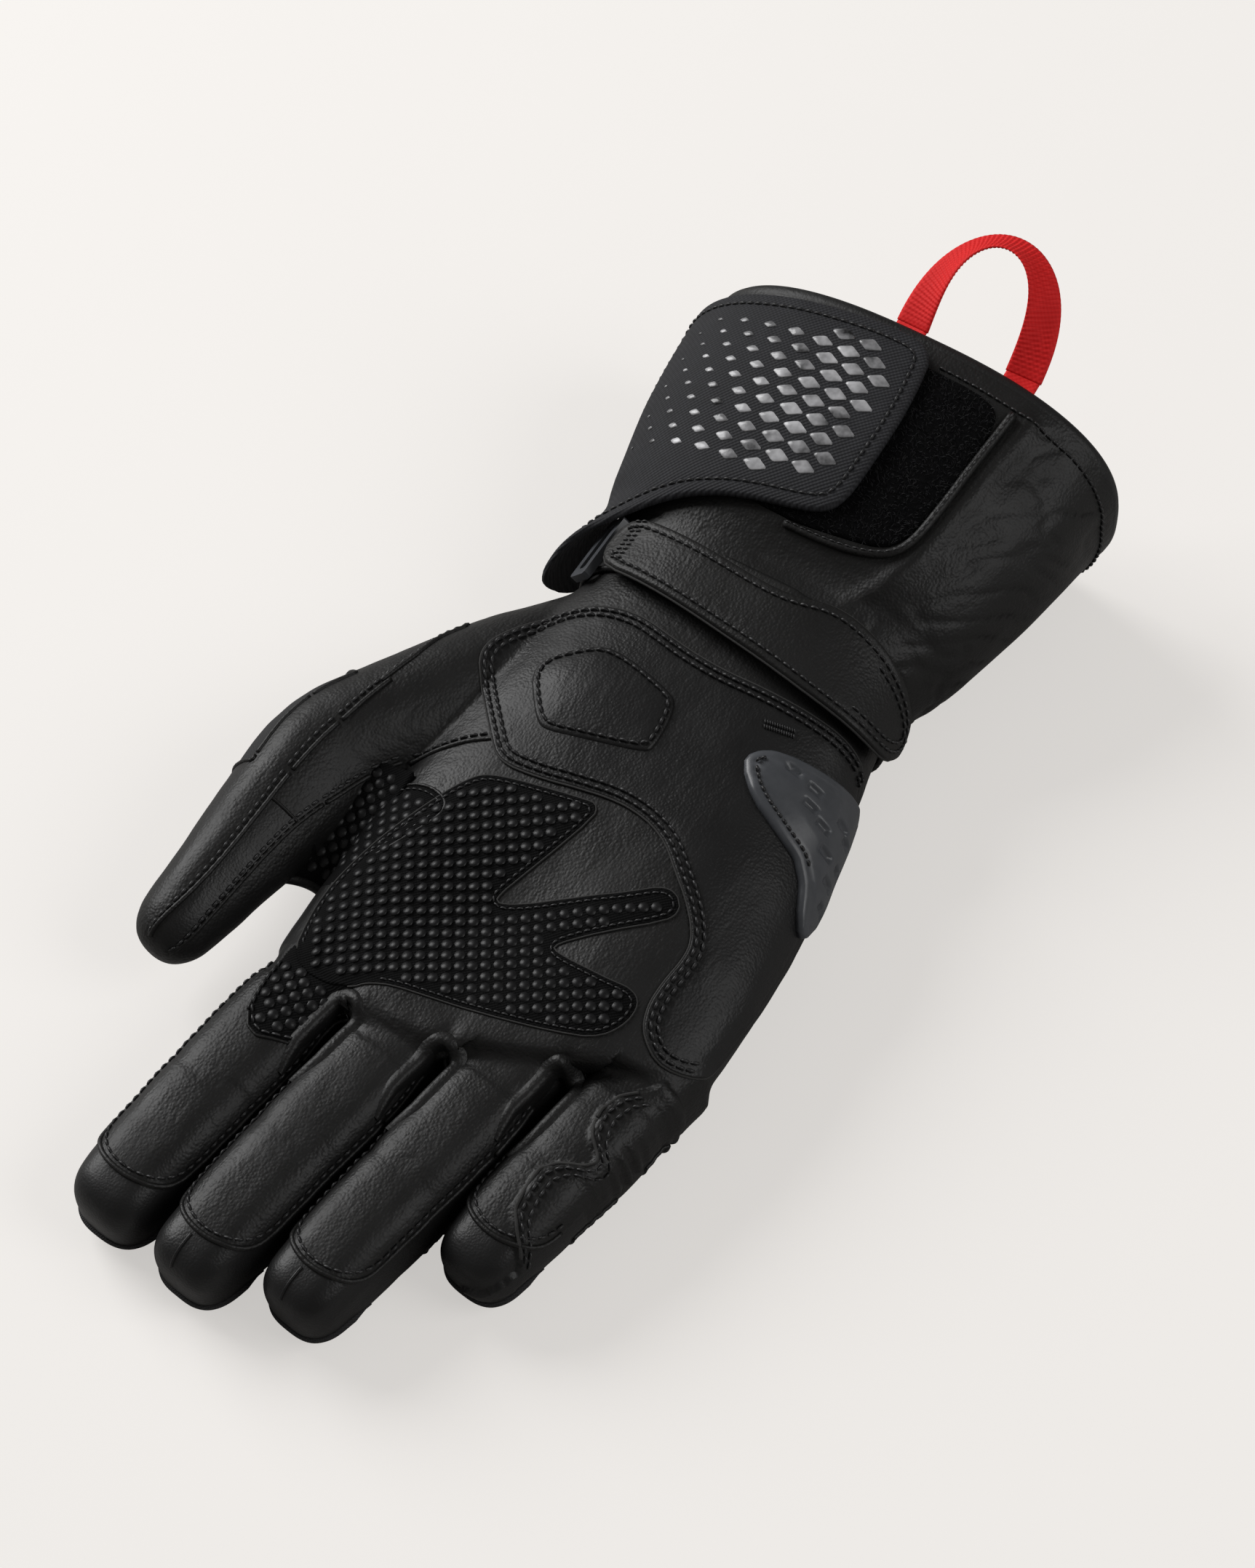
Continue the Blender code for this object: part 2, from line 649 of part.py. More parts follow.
FLAP_OUTLINE = [(-80, 138), (-44, 139), (-9, 142), (7, 140), (12, 114), (11, 88), (6, 83), (-20, 78),
                (-42, 72), (-54, 66), (-66, 62), (-76, 78)]
FLAP_HOOK_OUTLINE = [(4, 134), (6, 112), (5, 94), (-26, 90), (-28, 134)]
STRAP_OUTLINE = [(-42, 65), (-20, 62), (-3, 60), (12, 59), (24, 64), (38, 63), (50, 60), (60, 57), (64, 51),
                 (58, 41), (51, 37), (31, 36), (6, 39), (-20, 43), (-42, 47)]
WRIST_PILE_OUTLINE = [(58, 56), (10, 56), (10, 42), (31, 39.5), (50, 40), (58, 45)]
STRAP_HOOK_OUTLINE = [(56, 55), (20, 55), (20, 43), (31, 40.5), (50, 41), (56, 46)]
GUARD_OUTLINE = [(-44, -84), (-30, -90), (-8, -92), (14, -87), (34, -77), (48, -66), (44, -54), (20, -62),
                 (-8, -66), (-30, -65), (-42, -62)]


def sewn_edge(outline, lift):
    """Middle and direction of the edge between an outline's first and last points."""
    top = wrap_point(outline[0][0] * MM, outline[0][1] * MM, lift)
    low = wrap_point(outline[-1][0] * MM, outline[-1][1] * MM, lift)
    return (top + low) / 2, (low - top) / np.linalg.norm(low - top)


def build_overlays():
    tape_lift = SKIN_GAP + PILE_THICKNESS + TAPE_GAP
    over_tape = tape_lift + HOOK_THICKNESS + TAPE_GAP
    over_heel = SKIN_GAP + OVERLAY_THICKNESS + SKIN_GAP
    patch("heel_overlay", HEEL_OUTLINE, SKIN_GAP, OVERLAY_THICKNESS, SMOOTH_LEATHER)
    round_edges(patch("thenar_pad", PAD_OUTLINE, over_heel, PAD_THICKNESS, SMOOTH_LEATHER), PAD_EDGE)
    patch("grip_patch", GRIP_OUTLINE, SKIN_GAP, GRIP_THICKNESS, GRIP_RUBBER)
    slider = patch("palm_slider", SLIDER_OUTLINE, over_heel, SLIDER_THICKNESS, SLIDER_PLASTIC)
    round_edges(slider, MOULDED_EDGE)
    patch("cuff_pile_patch", CUFF_PILE_OUTLINE, SKIN_GAP, PILE_THICKNESS, PILE)
    patch("wrist_pile_patch", WRIST_PILE_OUTLINE, SKIN_GAP, PILE_THICKNESS, PILE)
    flap_hinge, flap_axis = sewn_edge(FLAP_OUTLINE, over_tape)
    strap_hinge, strap_axis = sewn_edge(STRAP_OUTLINE, over_tape)
    patch("flap_hook_tape", FLAP_HOOK_OUTLINE, tape_lift, HOOK_THICKNESS, PILE, origin=flap_hinge)
    patch("cuff_flap", FLAP_OUTLINE, over_tape, FLAP_THICKNESS, FLAP_FILM, origin=flap_hinge)
    patch("strap_hook_tape", STRAP_HOOK_OUTLINE, tape_lift, HOOK_THICKNESS, PILE, origin=strap_hinge)
    patch("wrist_strap", STRAP_OUTLINE, over_tape, STRAP_THICKNESS, SMOOTH_LEATHER, origin=strap_hinge)
    guard = patch("knuckle_guard", GUARD_OUTLINE, SKIN_GAP, GUARD_THICKNESS, SLIDER_PLASTIC, palm_side=False)
    round_edges(guard, MOULDED_EDGE)
    return (flap_hinge, flap_axis), (strap_hinge, strap_axis)


def build_buckle():
    """A flat ring beside the strap's sewn end, laid along the skin with a clearance under it."""
    data = bpy.data.curves.new("buckle_ring", "CURVE")
    data.dimensions = "2D"
    data.fill_mode = "BOTH"
    data.extrude = BUCKLE_THICKNESS / 2
    half_x = BUCKLE_WIDTH / 2
    half_y = BUCKLE_LENGTH / 2
    for inset in (0.0, BUCKLE_BAR):
        corner = BUCKLE_CORNER
        line = data.splines.new("POLY")
        points = []
        for sx, sy in ((1, 1), (-1, 1), (-1, -1), (1, -1)):
            near = (sx * (half_x - inset), sy * (half_y - inset - corner))
            far = (sx * (half_x - inset - corner), sy * (half_y - inset))
            points += [near, far] if sx == sy else [far, near]
        line.points.add(len(points) - 1)
        for knot, point in zip(line.points, points):
            knot.co = (*point, 0.0, 1.0)
        line.use_cyclic_u = True
    data.materials.append(finish_material("buckle_ring", *SLIDER_PLASTIC))
    made = bpy.data.objects.new("buckle_ring", data)
    PARTS.objects.link(made)
    s = STRAP_OUTLINE[0][0] * MM - BUCKLE_FROM_STRAP
    y = (STRAP_OUTLINE[0][1] + STRAP_OUTLINE[-1][1]) / 2 * MM
    spots = np.array([[wrap_point(s + a * half_x, y + b * half_y, 0.0) for b in (-1, 0, 1)] for a in (-1, 0, 1)])
    along = spots[1, 2] - spots[1, 0]
    along = along / np.linalg.norm(along)
    normal = np.cross(spots[2, 1] - spots[0, 1], along)
    normal = normal / np.linalg.norm(normal)
    height = float(np.max(spots @ normal)) + BUCKLE_CLEAR + BUCKLE_THICKNESS / 2
    place = spots[1, 1] + (height - float(spots[1, 1] @ normal)) * normal
    turned = Matrix(np.column_stack((np.cross(along, normal), along, normal)).tolist())
    made.matrix_world = Matrix.Translation(place.tolist()) @ turned.to_4x4()
    return made


def build_loop():
    """A band of webbing that leaves the mouth flat, turns on edge over the top and comes back flat."""
    tilt = math.radians(LOOP_TILT)
    rise = np.array((0.0, math.cos(tilt), math.sin(tilt)))
    across = np.array((1.0, 0.0, 0.0))
    out = np.cross(across, rise)
    mouth = sleeve_point(math.pi / 2, CUFF_END, -WALL)
    base = np.array((LOOP_CENTRE_X, CUFF_END + 2 * BINDING_RADIUS + 2 * CLEAR + LOOP_WIDTH * 0.1, mouth[2]))
    bm = bmesh.new()
    lines = []
    for k in range(LOOP_STEPS + 1):
        turn = math.pi * k / LOOP_STEPS
        centre = base - across * (LOOP_SPAN / 2) * math.cos(turn) + rise * LOOP_HEIGHT * math.sin(turn) ** 0.8
        inward = across * math.cos(turn) - rise * math.sin(turn)
        twist = math.radians(LOOP_BASE_TWIST) + math.radians(LOOP_TOP_TWIST) * math.sin(turn)
        width = math.cos(twist) * inward + math.sin(twist) * out
        lines.append([bm.verts.new(centre + side * LOOP_WIDTH / 2 * width) for side in (-1, 0, 1)])
    for a, b in zip(lines, lines[1:]):
        for k in range(2):
            bm.faces.new((a[k], a[k + 1], b[k + 1], b[k]))
    made = add_object("pull_loop", mesh_from("pull_loop", bm), RED_WEBBING, base)
    thicken(made, LOOP_THICKNESS)
    return base


def build_glove():
    cavity = thumb_cavity()
    outside = envelope()
    cut(hand_panel("palm_panel", True), cavity)
    cut(hand_panel("back_panel", False), cavity)
    cut(lining("hand_lining", WRIST - CLEAR / 2, KNUCKLE_LINE + 34 * MM, 9), cavity)
    build_cuff()
    build_thumb(outside)
    build_fingers()
    flap_edge, strap_edge = build_overlays()
    build_buckle()
    loop_hinge = build_loop()
    for name, (base, middle, seam) in CREASES.items():
        print(name, "knuckle", np.round(base.hinge(), 5), "axis", np.round(base.l, 5))
        print(name, "middle joint", np.round(middle.hinge(), 5))
    for name, crease in zip(("knuckle", "joint"), THUMB[2:4]):
        print("thumb", name, np.round(crease.hinge(), 5), "axis", np.round(crease.l, 5))
    print("flap", np.round(flap_edge, 5), "strap", np.round(strap_edge, 5), "loop", np.round(loop_hinge, 5))


build_glove()
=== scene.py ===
# %% [markdown]
# # A long-cuff leather glove, palm up
#
# The rigid model gives every piece its place and its joints. This script dresses that model: it keeps
# each joint and replaces the plain sheets with leather that has folds, seams, stitches and prints. Most
# new pieces ride on a body of the model, so they can still be posed. The pieces of skin on the fingers and
# thumb, the thumb's web and the pull loop are put on no body.

# %% [markdown]
# ## Load the frame
#
# All numbers here are in metres in the model's own frame: fingers towards -Y, cuff mouth towards +Y,
# thumb on -X, palm up. `MM` lets sizes be written in millimetres.

import json
import math

import bpy
import numpy as np
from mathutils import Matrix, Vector, noise
from mathutils.bvhtree import BVHTree
from mathutils.geometry import delaunay_2d_cdt

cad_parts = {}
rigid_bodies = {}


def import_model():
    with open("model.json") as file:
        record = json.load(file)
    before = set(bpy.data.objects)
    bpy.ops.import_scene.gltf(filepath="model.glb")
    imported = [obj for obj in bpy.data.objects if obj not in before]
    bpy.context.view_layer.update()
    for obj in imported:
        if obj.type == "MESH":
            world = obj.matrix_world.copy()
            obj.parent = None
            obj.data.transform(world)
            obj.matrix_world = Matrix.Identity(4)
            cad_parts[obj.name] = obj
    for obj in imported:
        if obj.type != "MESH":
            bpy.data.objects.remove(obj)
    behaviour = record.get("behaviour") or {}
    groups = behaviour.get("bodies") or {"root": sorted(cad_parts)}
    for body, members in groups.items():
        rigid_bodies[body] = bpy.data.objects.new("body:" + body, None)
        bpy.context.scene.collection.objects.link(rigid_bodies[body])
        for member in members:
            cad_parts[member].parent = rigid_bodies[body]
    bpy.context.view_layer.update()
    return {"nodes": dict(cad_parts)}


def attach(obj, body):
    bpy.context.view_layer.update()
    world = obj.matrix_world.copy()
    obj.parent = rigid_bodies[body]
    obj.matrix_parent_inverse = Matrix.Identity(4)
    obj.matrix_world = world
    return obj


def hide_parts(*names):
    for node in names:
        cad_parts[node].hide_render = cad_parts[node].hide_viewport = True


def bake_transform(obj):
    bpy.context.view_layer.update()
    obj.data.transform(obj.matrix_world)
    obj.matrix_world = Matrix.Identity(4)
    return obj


for old in list(bpy.data.objects):
    bpy.data.objects.remove(old)
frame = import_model()
MM = 0.001

# %% [markdown]
# ## The hand and cuff as one tube
#
# A glove's hand is a flattened tube. Eight sections give its centre, half width, underside and top, and a
# monotone curve joins them so that nothing overshoots between two sections. Each section is a
# superellipse, rounder than a box and squarer than an oval, flattened where the glove rests on its back.
# `sleeve` gives the skin at an angle round the tube, and `wrap` by the distance along the leather from
# the middle of the palm, so that outlines can be drawn flat and wrapped.

# %% Sections of the tube
# y, centre x, half width, underside and top of each section, in millimetres
SECTIONS = np.array([
    (-104, 6, 60, 4.5, 37), (-50, 6, 61, 4.5, 44), (-18, 4.5, 60, 0, 47), (30, 2, 53, 0, 50),
    (58, 2, 48, 0, 52), (84, 3, 55.5, 0, 60), (110, 4, 61.5, 0, 68), (145, 5, 66, 0, 74)]) * MM
SETTLE = 2.5 * MM
SECTION_POWER = 2.5
FLOOR_GAP = 0.15 * MM


def smooth_between(stations, values, at):
    """A curve through values at stations, read off at some places."""
    step = np.diff(stations)
    slope = np.diff(values) / step
    tangent = np.concatenate((slope[:1], np.zeros(len(slope) - 1), slope[-1:]))
    for i in range(1, len(slope)):
        if slope[i - 1] * slope[i] > 0:
            tangent[i] = 2 * slope[i - 1] * slope[i] / (slope[i - 1] + slope[i])
    at = np.clip(at, stations[0], stations[-1])
    i = np.clip(np.searchsorted(stations, at) - 1, 0, len(step) - 1)
    t = (at - stations[i]) / step[i]
    rise = (2 * t ** 3 - 3 * t ** 2 + 1) * values[i] + (3 * t ** 2 - 2 * t ** 3) * values[i + 1]
    turn = (t ** 3 - 2 * t ** 2 + t) * tangent[i] + (t ** 3 - t ** 2) * tangent[i + 1]
    return rise + step[i] * turn


def ramp(value, start, length):
    """0 up to start, and 1 a length further on; a negative length turns it round."""
    return np.clip((value - start) / length, 0, 1)


def hill(value, middle, reach):
    """1 at the middle, falling to nothing a few reaches away."""
    return np.exp(-((value - middle) / reach) ** 2)


def tent(value, middle, reach):
    """1 at the middle, falling straight to 0 at a reach from it."""
    return np.clip(1 - np.abs(value - middle) / reach, 0, 1)


def eased(share):
    """A share from 0 to 1 with a soft start and end."""
    return share * share * (3 - 2 * share)


def signed_power(value, power):
    return np.sign(value) * np.abs(value) ** power


print("sections:", len(SECTIONS), "from y", SECTIONS[0, 0], "to", SECTIONS[-1, 0])

# %% Points on the tube
WRAP_TURN, WRAP_STEPS = 2.2, 160
WRIST_Y = 58 * MM


def unit(vector):
    return np.asarray(vector, float) / np.linalg.norm(vector)


def unit_rows(rows):
    return rows / np.maximum(np.linalg.norm(rows, axis=1, keepdims=True), 1e-12)


def full_turn(count):
    return np.linspace(0, 2 * math.pi, count, endpoint=False)


def reach_of(points):
    """The distance along a line at each of its points."""
    return np.concatenate(([0], np.cumsum(np.linalg.norm(np.diff(points, axis=0), axis=1))))


def paired(first, second):
    """Two arrays of one length, from numbers or arrays."""
    return np.broadcast_arrays(*[np.atleast_1d(np.asarray(value, float)) for value in (first, second)])


def section(column, y):
    return smooth_between(SECTIONS[:, 0], SECTIONS[:, column], y)


def middle_x(y):
    """The glove's middle line."""
    return section(1, y)


def sleeve(angle, y, lift=0.0):
    """Points of the tube's skin; angle, y and lift may be arrays."""
    angle, y = np.broadcast_arrays(np.asarray(angle, float), np.asarray(y, float))
    centre, half_width, low, high = [section(column, y) for column in (1, 2, 3, 4)]
    half_height = (high - low + SETTLE) / 2
    middle = (high + low - SETTLE) / 2
    x = centre + (half_width + lift) * signed_power(np.cos(angle), 2 / SECTION_POWER)
    z = middle + (half_height + lift) * signed_power(np.sin(angle), 2 / SECTION_POWER)
    return np.stack((x, y, np.maximum(z, low - lift)), axis=-1)


def wrap(s, y):
    """Points and normals at a distance s along the skin from the middle of the palm."""
    s, y = paired(s, y)
    angles = math.pi / 2 - np.linspace(-WRAP_TURN, WRAP_TURN, WRAP_STEPS + 1)
    skin = sleeve(angles[None, :], y[:, None])
    steps = np.hypot(np.diff(skin[..., 0]), np.diff(skin[..., 2]))
    reach = np.concatenate((np.zeros((len(s), 1)), np.cumsum(steps, axis=1)), axis=1)
    reach = reach - reach[:, WRAP_STEPS // 2, None]
    i = np.clip((reach < s[:, None]).sum(axis=1) - 1, 1, WRAP_STEPS - 3)
    n = np.arange(len(s))
    t = ((s - reach[n, i]) / (reach[n, i + 1] - reach[n, i]))[:, None]
    place = skin[n, i] * (1 - t) + skin[n, i + 1] * t
    along = skin[n, i + 2] - skin[n, i - 1]
    normal = np.stack((-along[:, 2], np.zeros(len(s)), along[:, 0]), axis=1)
    return place, unit_rows(normal)


wrist = sleeve(np.linspace(0, 2 * math.pi, 200), WRIST_Y)
print("wrist girth:", round(reach_of(wrist)[-1], 4))

# %% [markdown]
# ## Fingers and thumb as limbs
#
# Each finger is a straight tapering tube that starts at its crease on the hand, and the thumb bends along
# five points. An empty leather finger narrows and its top sinks towards the tip. A limb knows its centre,
# its direction `t`, the palm direction `f` and the side direction `l` at any distance, so that a seam can
# be given as a distance and an angle.

# %% What a limb knows
FINGERS = {
    "index": {"base": (-38.0, -100, 18.6), "lean": 8.4, "length": 86, "half": (14.5, 15.6)},
    "middle": {"base": (-8.6, -104, 19.2), "lean": 9.0, "length": 86, "half": (14.1, 15.0)},
    "ring": {"base": (21.5, -97, 19.0), "lean": 9.4, "length": 86, "half": (13.7, 15.0)},
    "little": {"base": (52.4, -82, 17.6), "lean": 10.4, "length": 68, "half": (13.3, 14.4)}}
FINGER_PITCH = math.radians(3.6)
FINGER_POWER = 3.0
THUMB_POWER = 2.3
CAP = 12.5 * MM
TIP_ROUND = {"finger": 11 * MM, "thumb": 14 * MM}
TIP_BLUNT = {"finger": 0.58, "thumb": 0.8}
LOWER_SHARE = 0.44
BATCH = 20000


class Limb:
    def __init__(self, stations, power, flex):
        """stations: rows of distance, centre x, y, z, half width, half height."""
        self.rows = np.array(stations, float)
        self.power = power
        self.flex = np.asarray(flex, float)
        self.length = self.rows[-1, 0]

    def read(self, d, *columns):
        return np.stack([smooth_between(self.rows[:, 0], self.rows[:, i], d) for i in columns], axis=1)

    def at(self, d):
        """Centres, directions t, f and l, half widths and half heights at distances d."""
        d = np.atleast_1d(np.asarray(d, float))
        over = np.minimum(d - self.rows[0, 0], 0) + np.maximum(d - self.length, 0)
        held = np.clip(d, self.rows[0, 0] + MM, self.length - MM)
        t = unit_rows(self.read(held + MM, 1, 2, 3) - self.read(held - MM, 1, 2, 3))
        f = unit_rows(self.flex - (t @ self.flex)[:, None] * t)
        centre = self.read(d, 1, 2, 3) + over[:, None] * t
        return centre, t, f, np.cross(t, f), *self.read(d, 4, 5).T

    def point(self, d, angle, lift=0.0):
        d, angle = paired(d, angle)
        centre, t, f, l, half_w, half_h = self.at(d)
        u = (half_w + lift) * signed_power(np.cos(angle), 2 / self.power)
        v = (half_h + lift) * signed_power(np.sin(angle), 2 / self.power)
        return centre + u[:, None] * l + v[:, None] * f, unit_rows(u[:, None] * l + v[:, None] * f)

    def locate(self, points):
        """Distance and angle of points near the limb, by its nearest centre."""
        samples = np.linspace(-0.03, self.length + 0.01, 90)
        centre, t, f, l, half_w, half_h = self.at(samples)
        best = np.empty(len(points), int)
        for first in range(0, len(points), BATCH):
            part = points[first:first + BATCH]
            far = ((part[:, None, :] - centre[None]) ** 2).sum(axis=2)
            best[first:first + BATCH] = far.argmin(axis=1)
        off = points - centre[best]
        d = samples[best] + (off * t[best]).sum(axis=1)
        u = (off * l[best]).sum(axis=1) / half_w[best]
        v = (off * f[best]).sum(axis=1) / half_h[best]
        return d, np.arctan2(v, u), np.hypot(u, v)

# %% Make the five limbs
def make_finger(size):
    lean = math.radians(size["lean"])
    t = np.array((-math.sin(lean) * math.cos(FINGER_PITCH), -math.cos(lean) * math.cos(FINGER_PITCH),
                  -math.sin(FINGER_PITCH)))
    base = np.array(size["base"]) * MM
    length = size["length"] * MM
    half = np.array(size["half"]) * MM
    # distance, shares of the half width and half height, and drop in millimetres
    profile = ((-16 * MM, 0.97, 0.99, 0.0), (3 * MM, 0.955, 1.0, 0.0), (0.22 * length, 0.99, 1.0, 0.0),
               (LOWER_SHARE * length, 0.975, 0.965, 0.0), (0.64 * length, 0.95, 0.94, 0.2),
               (length - CAP, 0.89, 0.86, 0.8), (length, 0.80, 0.74, 1.8))
    stations = [(d, *(base + d * t - (0, 0, drop * MM)), half[0] * wide, half[1] * high)
                for d, wide, high, drop in profile]
    return Limb(stations, FINGER_POWER, (0, 0, 1))


THUMB_POINTS = np.array([(-36, 44, 23), (-60, -4, 25.4), (-77.5, -42, 26.5), (-78.5, -68, 26.5),
                         (-82.5, -113, 22)]) * MM
THUMB_HALVES = np.array([(13, 13), (18.4, 17.6), (18.0, 16.6), (15.4, 13.6), (10.0, 9.0)]) * MM
THUMB_FLEX = (0.6, 0.0, 0.8)
thumb_reach = reach_of(THUMB_POINTS)
limbs = {name: make_finger(size) for name, size in FINGERS.items()}
limbs["thumb"] = Limb(np.column_stack((thumb_reach, THUMB_POINTS, THUMB_HALVES)), THUMB_POWER, THUMB_FLEX)
print({name: round(limb.length * 1000) for name, limb in limbs.items()})

# %% [markdown]
# ## One skin from six tubes
#
# Real leather runs from the palm into the fingers without a step. Six closed tubes, the hand, four
# fingers and the thumb, are put in one mesh, and a voxel remesh joins them into a single skin.
# Neighbouring fingers almost touch, so for the remesh they are spread a few millimetres apart and brought
# back afterwards. A few rounds of averaging each point with its neighbours turn the meeting lines into
# soft folds.

# %% Rings along the hand
VOXEL = 0.95 * MM
SPREAD = {"index": -5.4 * MM, "middle": -1.8 * MM, "ring": 1.8 * MM, "little": 5.4 * MM}


def spread_share(d):
    return eased(ramp(d, -4 * MM, 9 * MM))


def band_faces(lines, count, closed=False):
    """Faces between closed rings of points; closed also joins the last ring to the first."""
    faces = []
    for i in range(lines if closed else lines - 1):
        j = (i + 1) % lines
        for k in range(count):
            n = (k + 1) % count
            faces.append((i * count + k, i * count + n, j * count + n, j * count + k))
    return faces


def flipped(faces):
    return [tuple(reversed(face)) for face in faces]


def end_faces(lines, count):
    """The two faces that close a tube of rings."""
    return [tuple(reversed(range(count))), tuple((lines - 1) * count + k for k in range(count))]


HAND_START, HAND_SIDES = 66 * MM, 120
# how far each closing ring of the hand shrinks, and how far ahead it lies in millimetres
HAND_END = ((0.93, 2.0), (0.8, 3.6), (0.55, 4.6))
CREASE_X = np.array((-56, -24, 3.5, 32.7, 66)) * MM
CREASE_Y = np.array((-94, -103, -100, -88, -74)) * MM


def hand_rows():
    angles = full_turn(HAND_SIDES)
    end = np.interp(sleeve(angles, -90 * MM)[:, 0], CREASE_X, CREASE_Y)
    rows = [sleeve(angles, HAND_START + v * (end - HAND_START)) for v in np.linspace(0, 1, 50)]
    last = rows[-1]
    middle = last.mean(axis=0)
    for shrink, ahead in HAND_END:
        ring = last.copy()
        ring[:, 2] = middle[2] + (last[:, 2] - middle[2]) * shrink
        ring[:, 0] = middle[0] + (last[:, 0] - middle[0]) * (0.5 + shrink / 2)
        ring[:, 1] -= ahead * MM
        rows.append(ring)
    return rows


hand_rings = hand_rows()
print("rings of the hand:", len(hand_rings))

# %% Rings along a limb
LIMB_SIDES = 64
TIP_TURNS = np.radians((20, 40, 56, 70, 82))


def limb_rows(name, limb):
    angles = full_turn(LIMB_SIDES)
    rows = []
    start = limb.rows[0, 0]
    sort = "finger" if name in SPREAD else "thumb"
    tip_round = TIP_ROUND[sort]
    body_end = limb.length - tip_round
    for d in np.linspace(start, body_end, 30):
        rows.append(limb.point(np.full(LIMB_SIDES, d), angles)[0])
    centre, t, f, l, half_w, half_h = [value[0] for value in limb.at(body_end)]
    for turn in TIP_TURNS:
        scale = math.cos(turn) ** TIP_BLUNT[sort]
        u = half_w * scale * signed_power(np.cos(angles), 2 / limb.power)
        v = half_h * scale * signed_power(np.sin(angles), 2 / limb.power)
        rows.append(centre + tip_round * math.sin(turn) * t + u[:, None] * l + v[:, None] * f)
    if name in SPREAD:
        for row in rows:
            d = limb.locate(row)[0]
            row[:, 0] += SPREAD[name] * spread_share(d)
    return rows


limb_rings = [limb_rows(name, limb) for name, limb in limbs.items()]
print("rings of each limb:", [len(rows) for rows in limb_rings])

# %% Join the tubes with voxels
def new_mesh(name, points, faces):
    mesh = bpy.data.meshes.new(name)
    mesh.from_pydata([tuple(p) for p in points], [], faces)
    mesh.update()
    return mesh


def new_object(name, data):
    made = bpy.data.objects.new(name, data)
    bpy.context.scene.collection.objects.link(made)
    return made


def evaluated(obj):
    """Points and faces of an object with its modifiers."""
    graph = bpy.context.evaluated_depsgraph_get()
    mesh = obj.evaluated_get(graph).to_mesh()
    points = np.empty(len(mesh.vertices) * 3)
    mesh.vertices.foreach_get("co", points)
    faces = [tuple(p.vertices) for p in mesh.polygons]
    obj.evaluated_get(graph).to_mesh_clear()
    return points.reshape(-1, 3), faces


def remeshed(points, faces, size):
    mesh = new_mesh("lump", points, faces)
    lump = new_object("lump", mesh)
    voxels = lump.modifiers.new("voxels", "REMESH")
    voxels.mode = "VOXEL"
    voxels.voxel_size = size
    bpy.context.view_layer.update()
    result = evaluated(lump)
    bpy.data.objects.remove(lump)
    bpy.data.meshes.remove(mesh)
    return result


all_points, all_faces, base = [], [], 0
for rows in [hand_rings] + limb_rings:
    rows = np.asarray(rows)
    all_points.append(rows.reshape(-1, 3))
    faces = band_faces(*rows.shape[:2]) + end_faces(*rows.shape[:2])
    all_faces += [tuple(i + base for i in face) for face in faces]
    base += len(all_points[-1])
skin, skin_faces = remeshed(np.concatenate(all_points), all_faces, VOXEL)
skin_faces = np.array([face for face in skin_faces if len(face) == 4])
print("joined skin:", len(skin), "points", len(skin_faces), "faces")

# %% Smooth the joined skin
def edges_of(faces):
    pairs = np.concatenate([np.stack((faces[:, k], faces[:, (k + 1) % faces.shape[1]]), axis=1)
                            for k in range(faces.shape[1])])
    return np.unique(np.sort(pairs, axis=1), axis=0)


def relaxed(points, edges, rounds):
    counts = np.bincount(edges.ravel(), minlength=len(points))[:, None]
    for _ in range(rounds):
        total = np.zeros_like(points)
        for k in range(3):
            total[:, k] = (np.bincount(edges[:, 0], points[edges[:, 1], k], len(points))
                           + np.bincount(edges[:, 1], points[edges[:, 0], k], len(points)))
        points = points + 0.5 * (total / counts - points)
    return points


skin_edges = edges_of(skin_faces)
skin = relaxed(skin, skin_edges, 14)
print("smoothed over", len(skin_edges), "edges")

# %% [markdown]
# ## Which finger a point belongs to
#
# Every point of the skin gets the limb it lies on, the distance along that limb and the angle round it.
# The fingers then go back from their spread places. The same distances decide later where the skin is cut.

# %% Which finger a point belongs to
owner = np.full(len(skin), -1)
along = np.zeros(len(skin))
angle = np.zeros(len(skin))
closest = np.full(len(skin), np.inf)
names = list(limbs)
KNUCKLE_REACH = thumb_reach[2]
OWNER_RADIUS = 1.45
for k, name in enumerate(names):
    shifted = skin.copy()
    if name in SPREAD:
        shifted[:, 0] -= SPREAD[name] * spread_share(limbs[name].locate(skin)[0])
    d, turn, radius = limbs[name].locate(shifted)
    start = -5 * MM if name in SPREAD else KNUCKLE_REACH - 30 * MM
    near = (d > start) & (radius < closest) & (radius < OWNER_RADIUS)
    owner[near] = k
    along[near] = d[near]
    angle[near] = turn[near]
    closest[near] = radius[near]
for name in SPREAD:
    mine = owner == names.index(name)
    skin[mine, 0] -= SPREAD[name] * spread_share(along[mine])
print({name: int((owner == k).sum()) for k, name in enumerate(names)})

# %% [markdown]
# ## Shape the leather
#
# The palm is hollow between its two cushions, worn leather has shallow waves and fine creases, and each
# finger's palm side is a tongue of leather that stands a little above the side strips it is sewn to. On
# the backs of the bending places the skin is gathered in ribs, which is what lets a stiff glove close. A
# panel with pleats covers the little finger's outer side. All of this is a shift of each point along its
# normal.

# %% Ways to shape a skin
SEAM_ANGLE = math.radians(27)
TONGUE_CORNER, TONGUE_POWER = 13 * MM, 2.2
PANEL_REACH = np.array((-6, 1, 6, 12, 17, 20, 22, 24, 27, 31, 35, 41, 47, 51, 54, 57)) * MM
PANEL_TURN = (122, 108, 93, 89, 95, 104, 118, 124, 118, 96, 87, 90, 98, 116, 134, 152)


